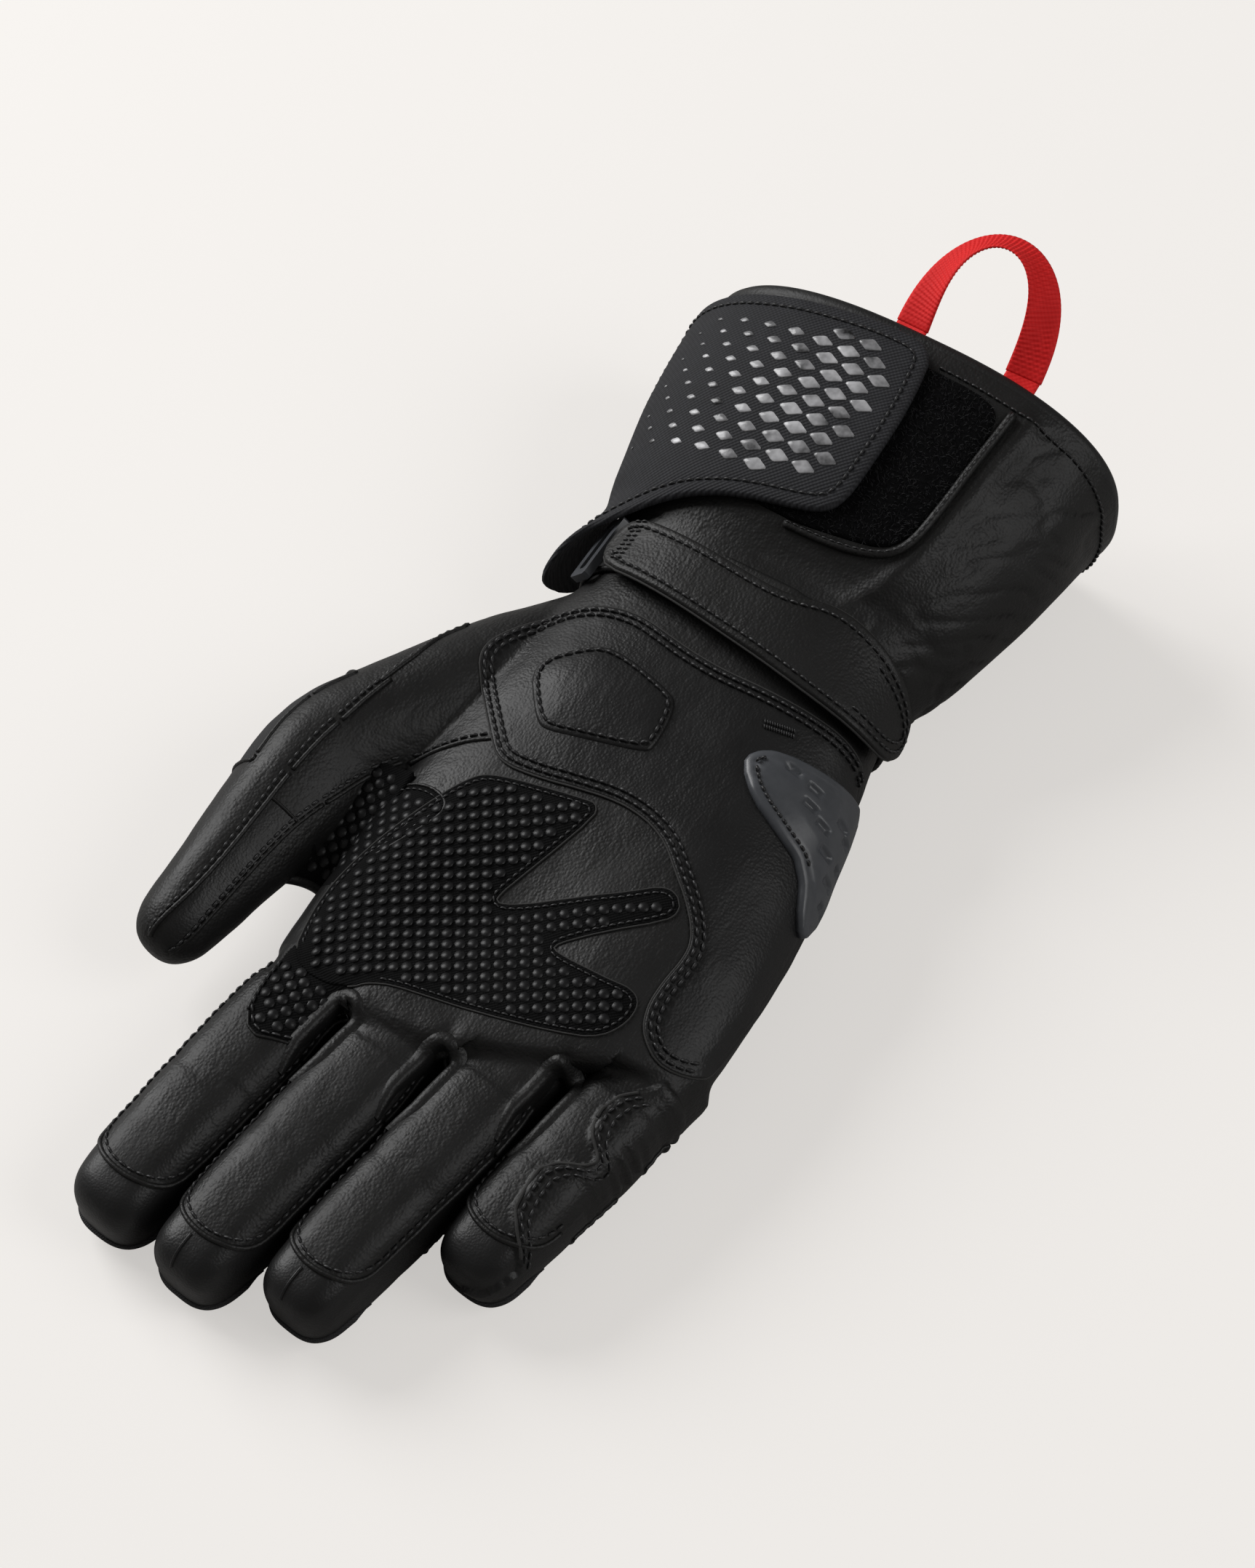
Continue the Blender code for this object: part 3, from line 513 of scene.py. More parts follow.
def normals_of(points, faces):
    across = np.cross(points[faces[:, 2]] - points[faces[:, 0]], points[faces[:, 3]] - points[faces[:, 1]])
    total = np.zeros_like(points)
    for corner in range(4):
        for k in range(3):
            total[:, k] += np.bincount(faces[:, corner], across[:, k], len(points))
    return unit_rows(total)


def corner_drop(q):
    """How far a tongue's end lies behind its tip, as a share; q is 0 in the middle and 1 at the side."""
    return 1 - (1 - q ** TONGUE_POWER) ** (1 / TONGUE_POWER)


def tongue_end(name, turn):
    """How far the palm-side leather of a finger reaches at an angle round it, in metres from the crease."""
    q = ramp(np.abs(turn - math.pi / 2), 0, math.pi / 2 - SEAM_ANGLE)
    return limbs[name].length - CAP - TONGUE_CORNER * corner_drop(q)


def panel_edge(d):
    """Angle at which the panel on the little finger's outer side begins."""
    return np.radians(np.interp(d, PANEL_REACH, PANEL_TURN))


def bump_at(points, x, y, wide, deep):
    """A round swelling of height 1; its place and its reach are in millimetres."""
    off = (points[:, :2] - np.array((x, y)) * MM) / (np.array((wide, deep)) * MM)
    return np.exp(-(off ** 2).sum(axis=1))


def waves(points, size, seed):
    return np.array([noise.noise(Vector(p) / size + Vector((seed, 0, 0))) for p in points])


def ridges(points, size, seed):
    """Thin lines, 1 on the line and 0 beside it, where a noise field changes sign."""
    return np.clip(1 - 7 * np.abs(waves(points, size, seed)), 0, 1)


normal = normals_of(skin, skin_faces)
upward = np.clip(normal[:, 2] * 2, 0, 1)
shift = np.zeros(len(skin))
print("points that face up:", int((upward > 0.5).sum()))

# %% Hollow, cushions and waves
# a form has its height, place and reach in x and y, and a wave its height, size and seed, in millimetres
PALM_FORMS = ((-4.0, -4, -62, 26, 27), (1.6, -24, 8, 22, 22), (1.5, 34, -30, 20, 34))
LEATHER_WAVES = ((0.45, 17, 3.0), (0.12, 6, 9.0))
NEIGHBOURS = list(zip(list(FINGERS), list(FINGERS)[1:]))
for height, x, y, wide, deep in PALM_FORMS:
    shift += height * MM * bump_at(skin, x, y, wide, deep) * upward
for height, size, seed in LEATHER_WAVES:
    shift += height * MM * waves(skin, size * MM, seed)
for left, right in NEIGHBOURS:
    x, y, _ = (np.array(FINGERS[left]["base"]) + np.array(FINGERS[right]["base"])) / 2
    shift -= 3.5 * MM * bump_at(skin, x - 1.5, y - 9, 2.4, 9) * upward
slant_across = 0.25 * (skin[:, 0] + 0.7 * skin[:, 1])
slant = np.stack((slant_across, skin[:, 1] - 0.7 * skin[:, 0], 0.5 * skin[:, 2]), axis=1)
thumb_side = bump_at(skin, -50, -10, 30, 45)
shift -= 0.10 * MM * ridges(slant, 6.5 * MM, 12.0) * thumb_side * upward
print("shift from", round(shift.min() * 1000, 2), "to", round(shift.max() * 1000, 2), "mm")

# %% Tongues, ribs and creases of the fingers
TONGUE_RISE, TONGUE_START = 0.28 * MM, 6 * MM
RIB_HEIGHT, RIB_PITCH = 0.55 * MM, 3.4 * MM
fine_creases = ridges(np.stack((angle * 1.3 * MM, along, owner * 0.05), axis=1), 2.6 * MM, 6.0)
under = np.clip(-np.sin(angle) * 1.6, 0, 1)
over = np.clip(np.sin(angle) * 1.4, 0, 1)
for k, name in enumerate(names[:4]):
    mine = owner == k
    inside = mine & (np.sin(angle) > math.sin(SEAM_ANGLE)) & (along < tongue_end(name, angle))
    shift[inside & (along > TONGUE_START)] += TONGUE_RISE
    for place, reach in ((0.0, 11 * MM), (LOWER_SHARE * limbs[name].length, 9 * MM)):
        close = tent(along, place, reach)
        shift += mine * RIB_HEIGHT * close * under * np.sin(2 * math.pi * along / RIB_PITCH)
        shift -= mine * 0.2 * MM * over * fine_creases * hill(along - place, 2 * MM, 9 * MM)
        shift -= mine * 0.4 * MM * over * hill(along - place, 1.5 * MM, 3.0 * MM)
print("ribs of", round(RIB_HEIGHT * 1000, 2), "mm on", len(names) - 1, "fingers")

# %% Panel on the little finger
PANEL_RISE, PANEL_END = 1.3 * MM, math.radians(215)
PLEAT_PLACE, PLEAT_REACH, PLEAT_HEIGHT, PLEAT_PITCH = 17 * MM, 10 * MM, 0.9 * MM, 4.2 * MM
side_panel = (owner == 3) & (angle > panel_edge(along)) & (angle < PANEL_END)
shift[side_panel] += PANEL_RISE
pleats = tent(along, PLEAT_PLACE, PLEAT_REACH) * ramp(angle, math.radians(125), 0.5)
shift += (owner == 3) * PLEAT_HEIGHT * pleats * np.sin(2 * math.pi * along / PLEAT_PITCH)
skin = skin + shift[:, None] * normal
skin[:, 2] = np.maximum(skin[:, 2], FLOOR_GAP)
normal = normals_of(skin, skin_faces)
print("skin from", np.round(skin.min(axis=0), 3), "to", np.round(skin.max(axis=0), 3))

# %% [markdown]
# ## Heaps of geometry and the rays that seat them
#
# Most details are many small shapes: stitches, dots, fibres. A `Heap` collects them with a finish name
# each and makes one object of them. `on_palm` and `on_limb` send rays at the skin, so that every overlay
# and stitch sits on the real leather with its waves, at a chosen lift.

# %% Heaps of geometry
finishes = {}


class Heap:
    def __init__(self):
        self.points, self.faces, self.kinds, self.normals = [], [], [], []
        self.count = 0

    def add(self, points, faces, kind, normals=None):
        points = np.asarray(points, float)
        kind = kind if isinstance(kind, list) else [kind] * len(faces)
        self.points.append(points)
        self.normals.append(np.zeros_like(points) if normals is None else normals)
        self.faces += [tuple(int(i) + self.count for i in face) for face in faces]
        self.kinds += kind
        self.count += len(points)
        return self

    def object(self, name):
        mesh = new_mesh(name, np.concatenate(self.points), self.faces)
        used = sorted(set(self.kinds))
        for kind in used:
            mesh.materials.append(finish(kind))
        mesh.polygons.foreach_set("material_index", [used.index(kind) for kind in self.kinds])
        mesh.shade_smooth()
        given = np.concatenate(self.normals)
        fixed = np.linalg.norm(given, axis=1) > 0.5
        if fixed.any():
            own = np.empty(len(given) * 3)
            mesh.vertices.foreach_get("normal", own)
            own = own.reshape(-1, 3)
            own[fixed] = given[fixed]
            mesh.normals_split_custom_set_from_vertices([tuple(n) for n in own])
        return new_object(name, mesh)


def finish(kind):
    """The material of that name, filled in by the cells further down."""
    if kind not in finishes:
        finishes[kind] = bpy.data.materials.new(kind)
    return finishes[kind]

# %% Rays that seat things on the skin
def tree(points, faces):
    return BVHTree.FromPolygons([tuple(p) for p in points], [tuple(int(i) for i in f) for f in faces])


def cast(skin_tree, starts, rays, reach=0.06):
    """Where rays meet a skin; a ray that misses keeps a point half way."""
    hits = []
    for start, ray in zip(starts, rays):
        place = skin_tree.ray_cast(Vector(start), Vector(ray), reach)[0]
        hits.append(place if place is not None else start + ray * reach / 2)
    return np.array(hits, float).reshape(-1, 3)


face_owner = owner[skin_faces[:, 0]]
hand_faces = skin_faces[(face_owner < 4) | (along[skin_faces[:, 0]] < KNUCKLE_REACH)]
hand_tree = tree(skin, hand_faces)
limb_trees = {name: tree(skin, skin_faces[face_owner == k]) for k, name in enumerate(names)}
DOWN = (0.0, 0.0, -1.0)
CAST_FROM = 0.02


def raised(place, out, lift):
    """Points moved out of the skin by one lift, or by one for each point."""
    return place + np.broadcast_to(np.asarray(lift, float), (len(place),))[:, None] * out


def fall_on(skin_tree, x, y):
    """Where points high above the glove land on a skin."""
    above = np.stack((x, y, np.full(len(x), 120 * MM)), axis=1)
    return cast(skin_tree, above, np.tile(DOWN, (len(x), 1)), 0.2)


def on_palm(s, y, lift=0.0, skin_tree=hand_tree):
    """Seat points on the hand: by the tube's own normal, and from above on the thumb side of the palm."""
    s, y = paired(s, y)
    place, out = wrap(s, y)
    hit = cast(skin_tree, place + out * CAST_FROM, -out, 0.04)
    left = s < 0
    hit[left] = fall_on(skin_tree, middle_x(y[left]) + s[left], y[left])
    tilt = ramp(s[left], 0, -0.07)[:, None]
    out[left] = unit_rows(np.concatenate((-0.8 * tilt, 0 * tilt, 1 + 0 * tilt), axis=1))
    return raised(hit, out, lift), out


def on_limb(name, d, turn, lift=0.0):
    centre, t, f, l, half_w, half_h = limbs[name].at(d)
    turn = np.broadcast_to(np.asarray(turn, float), (len(centre),))
    ray = (np.cos(turn) * half_w)[:, None] * l + (np.sin(turn) * half_h)[:, None] * f
    out = unit_rows(ray)
    hit = cast(limb_trees[name], centre + ray * 1.8, -out, 0.03)
    return raised(hit, out, lift), out


print("palm at its middle:", np.round(on_palm(0.0, -40 * MM)[0][0], 4))

# %% [markdown]
# ## Rolls, stitches and outlines
#
# A seam on a glove shows as a thin roll of turned leather with stitches beside it. A stitch is a short
# capsule that dips into the leather at both ends. It is real geometry, because thread catches the light
# and throws a small shadow. Pattern pieces are drawn as flat outlines in even steps.

# %% Lines and rolls
TUBE_UP = np.array((0.31, 0.17, 0.93))


def resample(points, pitch, closed=False):
    points = np.asarray(points, float)
    if closed:
        points = np.concatenate((points, points[:1]))
    reach = reach_of(points)
    count = max(int(round(reach[-1] / pitch)), 2)
    marks = np.linspace(0, reach[-1], count + 1)
    result = np.stack([np.interp(marks, reach, points[:, k]) for k in range(points.shape[1])], axis=1)
    return result[:-1] if closed else result


def rounded(points, rounds=2, closed=True, share=0.25, most=4.5 * MM):
    """Cut each corner of a line, so that it turns in a curve; most is the longest piece cut off an edge."""
    points = np.asarray(points, float)
    for _ in range(rounds):
        after = np.roll(points, -1, axis=0)
        length = np.linalg.norm(after - points, axis=1, keepdims=True)
        cut = np.minimum(share, most / np.maximum(length, 1e-12))
        pairs = np.stack((points * (1 - cut) + after * cut, points * cut + after * (1 - cut)), axis=1)
        if closed:
            points = pairs.reshape(-1, points.shape[1])
        else:
            inner = pairs[:-1].reshape(-1, points.shape[1])[1:-1]
            points = np.concatenate((points[:1], inner, points[-1:]))
    return points


def circle(count, side, up):
    """Directions round a full turn in the plane of two directions."""
    turns = full_turn(count)[:, None]
    return np.cos(turns) * side + np.sin(turns) * up


def tube(points, radius, sides=8, closed=False):
    """Points and faces of a roll along a line; radius may change along it."""
    points = np.asarray(points, float)
    ahead = np.roll(points, -1, axis=0) if closed else np.concatenate((points[1:], points[-1:]))
    behind = np.roll(points, 1, axis=0) if closed else np.concatenate((points[:1], points[:-1]))
    t = unit_rows(ahead - behind)
    side = unit_rows(np.cross(t, TUBE_UP))
    top = np.cross(side, t)
    radius = np.broadcast_to(np.asarray(radius, float), (len(points),))
    rows = points[:, None] + radius[:, None, None] * circle(sides, side[:, None], top[:, None])
    faces = band_faces(len(points), sides, closed)
    if not closed:
        faces += end_faces(len(points), sides)
    return rows.reshape(-1, 3), faces

# %% Stitches
STITCH_SIDES = 6
STITCH_ALONG = np.array((-0.44, -0.33, 0.0, 0.33, 0.44))
STITCH_RISE = np.array((-0.8, 0.4, 0.9, 0.4, -0.8))
STITCH_WIDE = np.array((0.35, 0.9, 1.0, 0.9, 0.35))
STITCH_FACES = band_faces(len(STITCH_ALONG), STITCH_SIDES)


def stitches(heap, points, out, pitch=3.0 * MM, size=0.45 * MM, closed=False):
    """A row of stitches along points, each from one needle hole to the next."""
    both = resample(np.concatenate((points, out * 1e-5), axis=1), pitch, closed)
    place, out = both[:, :3], unit_rows(both[:, 3:])
    count = len(place) if closed else len(place) - 1
    for i in range(count):
        n = (i + 1) % len(place)
        step = place[n] - place[i]
        up = unit(out[i] + out[n])
        side = unit(np.cross(step, up))
        middle = (place[i] + place[n]) / 2
        centre = middle + STITCH_ALONG[:, None] * step + (STITCH_RISE * size)[:, None] * up
        around = centre[:, None] + (STITCH_WIDE * size)[:, None, None] * circle(STITCH_SIDES, side, up)
        heap.add(around.reshape(-1, 3), STITCH_FACES, "thread")

# %% Flat outlines
def from_line(points, line):
    """Distance of points in the plane to a line."""
    best = np.full(len(points), np.inf)
    for p, q in zip(line, line[1:]):
        step = q - p
        t = np.clip(((points - p) @ step) / max(step @ step, 1e-18), 0, 1)
        best = np.minimum(best, np.linalg.norm(points - p - t[:, None] * step, axis=1))
    return best


def from_edge(points, outline):
    return from_line(points, np.concatenate((outline, outline[:1])))


def inset(outline, depth):
    """The outline moved inwards; the sign of its area says which side is inside."""
    ahead = np.roll(outline, -1, axis=0) - np.roll(outline, 1, axis=0)
    x, y = outline.T
    turn = np.sign(np.sum(x * np.roll(y, -1) - np.roll(x, -1) * y))
    inward = unit_rows(np.stack((-ahead[:, 1], ahead[:, 0]), axis=1)) * turn
    moved = outline + depth * inward
    keep = from_edge(moved, outline) > 0.93 * depth - 1e-6
    return moved[keep]


def within(points, outline):
    inside = np.zeros(len(points), bool)
    for p, q in zip(outline, np.roll(outline, -1, axis=0)):
        crosses = (p[1] > points[:, 1]) != (q[1] > points[:, 1])
        if p[1] != q[1]:
            edge_x = (q[0] - p[0]) * (points[:, 1] - p[1]) / (q[1] - p[1]) + p[0]
            inside ^= crosses & (points[:, 0] < edge_x)
    return inside


def outline_of(points, pitch=1.6 * MM, rounds=2):
    """A rounded outline in even steps from corners in millimetres."""
    return resample(rounded(np.array(points, float) * MM, rounds), pitch, closed=True)

# %% [markdown]
# ## Sheets cut to an outline
#
# A patch is an outline on the unrolled palm, filled with triangles and wrapped on the skin. Its edge is
# rounded over a small radius, and the leather sinks a little along each row of stitches. The triangles
# come from a constrained Delaunay fill, which keeps the border exact.

# %% Sheets cut to an outline
def cut_sheet(outline, cell, rings):
    """Points and triangles of a flat sheet: rings beside the edge, and a staggered grid inside."""
    loops = [outline] + [inset(outline, r) for r in rings]
    low, high = outline.min(axis=0), outline.max(axis=0)
    xs = np.arange(low[0], high[0], cell)
    ys = np.arange(low[1], high[1], cell * 0.87)
    grid = np.array([(x + (j % 2) * cell / 2, y) for j, y in enumerate(ys) for x in xs])
    grid = grid[within(grid, outline)]
    grid = grid[from_edge(grid, outline) > max(rings) + cell * 0.45]
    flat = np.concatenate(loops + [grid])
    n = len(outline)
    border = [(i, (i + 1) % n) for i in range(n)]
    made = delaunay_2d_cdt([Vector(p) for p in flat], border, [], 1, 1e-7)
    points = np.array([tuple(p) for p in made[0]])
    faces = [tuple(face) for face in made[2]]
    return points, faces


CELL = 1.7 * MM
ROW_SINK, ROW_HALF, ROW_STEP = 0.2 * MM, 0.6 * MM, 0.7 * MM


def patch(outline, thickness, lift, edge, cell=CELL, rows=(), relief=None, seat=on_palm):
    """Points and faces of a closed sheet on the skin; rows are the depths at which stitches sink it."""
    rings = sorted({edge * 0.12, edge * 0.45, edge} | {r + k * ROW_STEP for r in rows for k in (-1, 0, 1)})
    flat, faces = cut_sheet(outline, cell, rings)
    depth = from_edge(flat, outline)
    profile = np.sqrt(np.clip(1 - (1 - ramp(depth, 0, edge)) ** 2, 0, 1))
    top = lift + thickness * profile
    for r in rows:
        top = top - ROW_SINK * hill(depth, r, ROW_HALF)
    if relief is not None:
        top = top + relief(flat, depth)
    upper, out = seat(*flat.T, top)
    lower = seat(*flat.T, lift)[0]
    count = len(flat)
    rim = depth < 1e-7
    under = np.where(rim, np.arange(count), np.arange(count) + count)
    a, b, c = [upper[[f[k] for f in faces]] for k in range(3)]
    facing = np.cross(b - a, c - a)
    if (facing * out[[f[0] for f in faces]]).sum() < 0:
        faces = flipped(faces)
    faces = faces + [tuple(int(under[i]) for i in reversed(f)) for f in faces]
    return np.concatenate((upper, lower)), faces


def lay(heap, kind, outline, thickness, **how):
    """Put a patch with its finish in a heap, and give its points and faces."""
    points, faces = patch(outline, thickness, **how)
    heap.add(points, faces, kind)
    return points, faces

# %% [markdown]
# ## The cuff
#
# The gauntlet's cuff is a wide leather tube that goes over a sleeve. It is drawn as two skins, the
# outside and the lining, that meet at the mouth in a strip of leather folded over both edges. The leather
# has a long fold beside the pile, a hollow above the strap, creases over the outer side and shallow
# waves, which all die out at the bound edge.

# %% Grid of the cuff
CUFF_START, CUFF_END = 50 * MM, 146 * MM
CUFF_FOLD = np.array([(41, 138), (39.5, 120), (38, 104), (35.5, 88), (31, 76), (24, 66), (16, 60)]) * MM


def cuff_grid(columns, lines, lift):
    """A closed grid round the cuff, and for each point its distance from the palm's middle line."""
    ys = np.linspace(CUFF_START, CUFF_END, lines)
    angles = math.pi / 2 - np.linspace(-math.pi, math.pi, columns, endpoint=False)
    grid = sleeve(angles[None, :], ys[:, None], lift)
    steps = np.linalg.norm(np.diff(grid[:, :, [0, 2]], axis=1), axis=2)
    reach = np.concatenate((np.zeros((lines, 1)), np.cumsum(steps, axis=1)), axis=1)
    reach = reach - reach[:, columns // 2:columns // 2 + 1]
    return grid, reach, ys


cuff_columns, cuff_lines = ((300, 80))
cuff, reach, ys = cuff_grid(cuff_columns, cuff_lines, 0.9 * MM)
around = np.roll(cuff, -1, axis=1) - np.roll(cuff, 1, axis=1)
upwards = np.gradient(cuff, axis=0)
cuff_out = unit_rows(np.cross(around.reshape(-1, 3), upwards.reshape(-1, 3)))
cuff_flat = cuff.reshape(-1, 3)
cuff_s, cuff_y = reach.ravel(), cuff_flat[:, 1]
if (cuff_out[:, 2] * (cuff_flat[:, 2] - 0.03)).sum() < 0:
    cuff_out = -cuff_out
print("cuff grid:", len(cuff_flat), "points")

# %% Folds of the cuff
fold = from_line(np.stack((cuff_s, cuff_y), axis=1), CUFF_FOLD)
lift = 1.5 * MM * hill(fold, 0, 3.2 * MM) * ramp(cuff_y, 56 * MM, 20 * MM)
lift -= 3.4 * MM * hill(cuff_s, 8 * MM, 24 * MM) * hill(cuff_y, 71 * MM, 8 * MM)
lift += 0.8 * MM * waves(cuff_flat * (0.6, 1.0, 0.6), 26 * MM, 1.0)
lift += 0.30 * MM * waves(cuff_flat * (1.0, 0.45, 1.0), 7 * MM, 5.0) * ramp(cuff_s, 30 * MM, 20 * MM)
across_cuff = np.stack((0.22 * (cuff_s + cuff_y), cuff_y - 0.8 * cuff_s, 0 * cuff_s), axis=1)
creased = ramp(cuff_s, 36 * MM, 12 * MM) * ramp(cuff_s, 92 * MM, -20 * MM)
lift -= 0.55 * MM * ridges(across_cuff, 8 * MM, 21.0) * creased
across_wrist = np.stack((0.3 * cuff_s, cuff_y, 0 * cuff_s), axis=1)
lift -= 0.6 * MM * ridges(across_wrist, 7 * MM, 31.0) * hill(cuff_y, 66 * MM, 12 * MM)
lift *= ramp(cuff_y, CUFF_END, -6 * MM)
cuff_skin = cuff_flat + lift[:, None] * cuff_out
cuff_skin[:, 2] = np.maximum(cuff_skin[:, 2], FLOOR_GAP)
cuff_faces = flipped(band_faces(cuff_lines, cuff_columns))
cuff_tree = tree(cuff_skin, cuff_faces)
print("cuff folds from", round(lift.min() * 1000, 1), "to", round(lift.max() * 1000, 1), "mm")

# %% Lining, hem and binding
LINING_DEPTH, HEM, BINDING = -4.6 * MM, 0.9 * MM, 2.3 * MM
inner = cuff_grid(cuff_columns, cuff_lines, LINING_DEPTH)[0].reshape(-1, 3)
inner = inner + 0.5 * MM * waves(inner, 20 * MM, 7.0)[:, None] * cuff_out
cuff_heap = Heap().add(cuff_skin, cuff_faces, "leather")
hem = cuff_skin[:cuff_columns] + 0.2 * MM * cuff_out[:cuff_columns]
hem[:, 2] = np.maximum(hem[:, 2], HEM + 0.2 * MM)
cuff_heap.add(*tube(hem, HEM, closed=True), "leather")
lining_heap = Heap().add(inner, band_faces(cuff_lines, cuff_columns), "lining")
mouth, inner_mouth = cuff_skin[-cuff_columns:], inner[-cuff_columns:]
middle_line = (mouth + inner_mouth) / 2
middle_line[:, 1] = CUFF_END + 0.6 * MM
middle_line[:, 2] = np.maximum(middle_line[:, 2], BINDING + 0.2 * MM)
rim_out = unit_rows(mouth - inner_mouth)
half_wall = np.linalg.norm(mouth - inner_mouth, axis=1)[:, None] / 2 + 0.25 * MM
rows = []
for turn in np.linspace(-0.4 * math.pi, 1.4 * math.pi, 13):
    ahead = BINDING * (math.sin(turn) if math.sin(turn) > 0 else 1.9 * math.sin(turn))
    rows.append(middle_line + math.cos(turn) * half_wall * rim_out + np.array((0.0, ahead, 0.0)))
rows = np.array(rows)
rows[:, :, 2] = np.maximum(rows[:, :, 2], FLOOR_GAP)
binding_faces = flipped(band_faces(len(rows), cuff_columns))
binding_heap = Heap().add(rows.reshape(-1, 3), binding_faces, "binding")
print("cuff:", len(cuff_skin), "points")

# %% Stitches beside the binding
RIM_Y, RIM_REACH = 139.8 * MM, np.array((10, 124)) * MM


def on_cuff(s, y, lift=0.0):
    place, out = wrap(s, y)
    hit = cast(cuff_tree, place + out * CAST_FROM, -out, 0.045)
    return raised(hit, out, lift), out


stitches(binding_heap, *on_cuff(np.linspace(*RIM_REACH, 160), RIM_Y, 0.1 * MM), pitch=2.6 * MM)
print("binding:", binding_heap.count, "points")

# %% [markdown]
# ## Cut the skin into pieces
#
# One piece of cloth may bend between two bodies that share a joint, so the skin is cut where it doesn't
# bend: the hand, a knuckle piece for each limb and a tip piece beyond it. The cuts lie in stiff zones and
# keep the normals of the whole skin, so they don't show.

# %% Where the skin is cut
middle_of = {name: LOWER_SHARE * limbs[name].length for name in SPREAD}
bend_start = {name: 0.0 for name in SPREAD} | {"thumb": KNUCKLE_REACH - 9 * MM}
cut_at = {name: 0.5 * middle_of[name] for name in SPREAD} | {"thumb": KNUCKLE_REACH + 12 * MM}
face_along = along[skin_faces].mean(axis=1)
face_angle = np.arctan2(np.sin(angle[skin_faces]).mean(axis=1), np.cos(angle[skin_faces]).mean(axis=1))
face_normal = unit_rows(normal[skin_faces].mean(axis=1))
face_place = skin[skin_faces].mean(axis=1)
face_stage = np.zeros(len(skin_faces), int)
for k, name in enumerate(names):
    mine = face_owner == k
    face_stage[mine & (face_along > bend_start[name])] = 1
    face_stage[mine & (face_along > cut_at[name])] = 2
print("faces on the hand, at the knuckles and beyond:", np.bincount(face_stage))

# %% [markdown]
# ## A finish for each panel
#
# Each face takes the finish of its panel: grained leather on the palm side, smooth leather on the caps,
# stretch cloth in the ribs on the back. Faces are chosen by distance and angle, so a panel needs no mesh
# of its own. The grip cloth on the index finger and in the crotch of the thumb lies on skin that bends,
# so it is made of faces of that skin too.

# %% A finish for each panel
STRIP_TURN, STRIP_START = np.radians((66, 101)), 117 * MM
BACK_TURN = np.radians((-159, -21))
STRETCH_TURN, STRETCH_REACH = np.radians((-50, 22)), (74 * MM, 110 * MM)
SMOOTH_END, BACK_END, BACK_FACING = 34 * MM, 20 * MM, -0.35
RIB_REACH = (10 * MM, 8 * MM)


def between(values, ends):
    return (values > ends[0]) & (values < ends[1])


face_kind = np.full(len(skin_faces), "leather", dtype=object)
face_kind[(face_normal[:, 2] < BACK_FACING) & (face_place[:, 1] < CUFF_START)] = "back_leather"
for k, name in enumerate(names):
    mine = face_owner == k
    if name == "thumb":
        face_kind[mine & between(face_angle, STRIP_TURN) & (face_along > STRIP_START)] = "smooth_leather"
        face_kind[mine & between(face_angle, STRETCH_TURN) & between(face_along, STRETCH_REACH)] = "stretch"
        continue
    tongue = (np.sin(face_angle) > math.sin(SEAM_ANGLE)) & (face_along < tongue_end(name, face_angle))
    face_kind[mine & ~tongue & (face_along > limbs[name].length - SMOOTH_END)] = "smooth_leather"
    back = mine & (np.sin(face_angle) < BACK_FACING)
    face_kind[back & (face_along < limbs[name].length - BACK_END)] = "back_leather"
    for place, span in zip((0.0, middle_of[name]), RIB_REACH):
        face_kind[back & (np.abs(face_along - place) < span)] = "stretch"
print({kind: int((face_kind == kind).sum()) for kind in sorted(set(face_kind))})

# %% Grip cloth on skin that bends
INDEX_GRIP = np.radians((52, 60, 70, 85, 100, 128, 137, 140))
INDEX_REACH = np.array((2, 9, 18, 22.6, 23.4, 19, 11, 0)) * MM
SADDLE = outline_of([(-70, -66), (-66.6, -60), (-66.6, -52), (-62, -40.5), (-53, -36.7), (-44, -37.2),
                     (-38, -41), (-45, -55), (-52, -66), (-57, -76)], pitch=1.3 * MM)
index_end = np.interp(face_angle, INDEX_GRIP, INDEX_REACH, left=-1, right=-1)
face_kind[(face_owner == 0) & (face_along < index_end)] = "grip"
from_middle = face_place[:, 0] - middle_x(face_place[:, 1])
in_saddle = within(np.stack((from_middle, face_place[:, 1]), axis=1), SADDLE) & (face_normal[:, 2] > -0.2)
face_kind[in_saddle & ((face_owner == 4) | (face_owner < 0))] = "grip"
print("grip faces on the skin:", int((face_kind == "grip").sum()))

# %% Eleven pieces of skin
def skin_piece(chosen):
    heap = Heap()
    used, places = np.unique(skin_faces[chosen], return_inverse=True)
    faces = places.reshape(-1, 4)
    heap.add(skin[used], faces.tolist(), list(face_kind[chosen]), normal[used])
    return heap


skin_heaps = {"hand": skin_piece(face_stage == 0)}
for k, name in enumerate(names):
    skin_heaps[name + "_knuckle"] = skin_piece((face_owner == k) & (face_stage == 1))
    skin_heaps[name + "_tip"] = skin_piece((face_owner == k) & (face_stage == 2))
print({name: len(heap.faces) for name, heap in skin_heaps.items()})

# %% [markdown]
# ## Finger seams
#
# The palm side of a finger is sewn to its side strips and to the smooth cap with one seam that runs up
# one side, round the fingertip and down the other. It shows as a fine roll of turned leather with a row
# of stitches inside it. The little finger has it on one side only, because a panel with a cut edge covers
# its outer side. On the back a roll frames each ribbed panel. A seam that crosses a cut in the skin is
# split there.

# %% Run a seam along a limb
SEAM_SIDE, SEAM_ROUND = 59, 50
LIMB_STITCH, LIMB_THREAD, PANEL_ROLL = 2.9 * MM, 0.42 * MM, 0.6 * MM


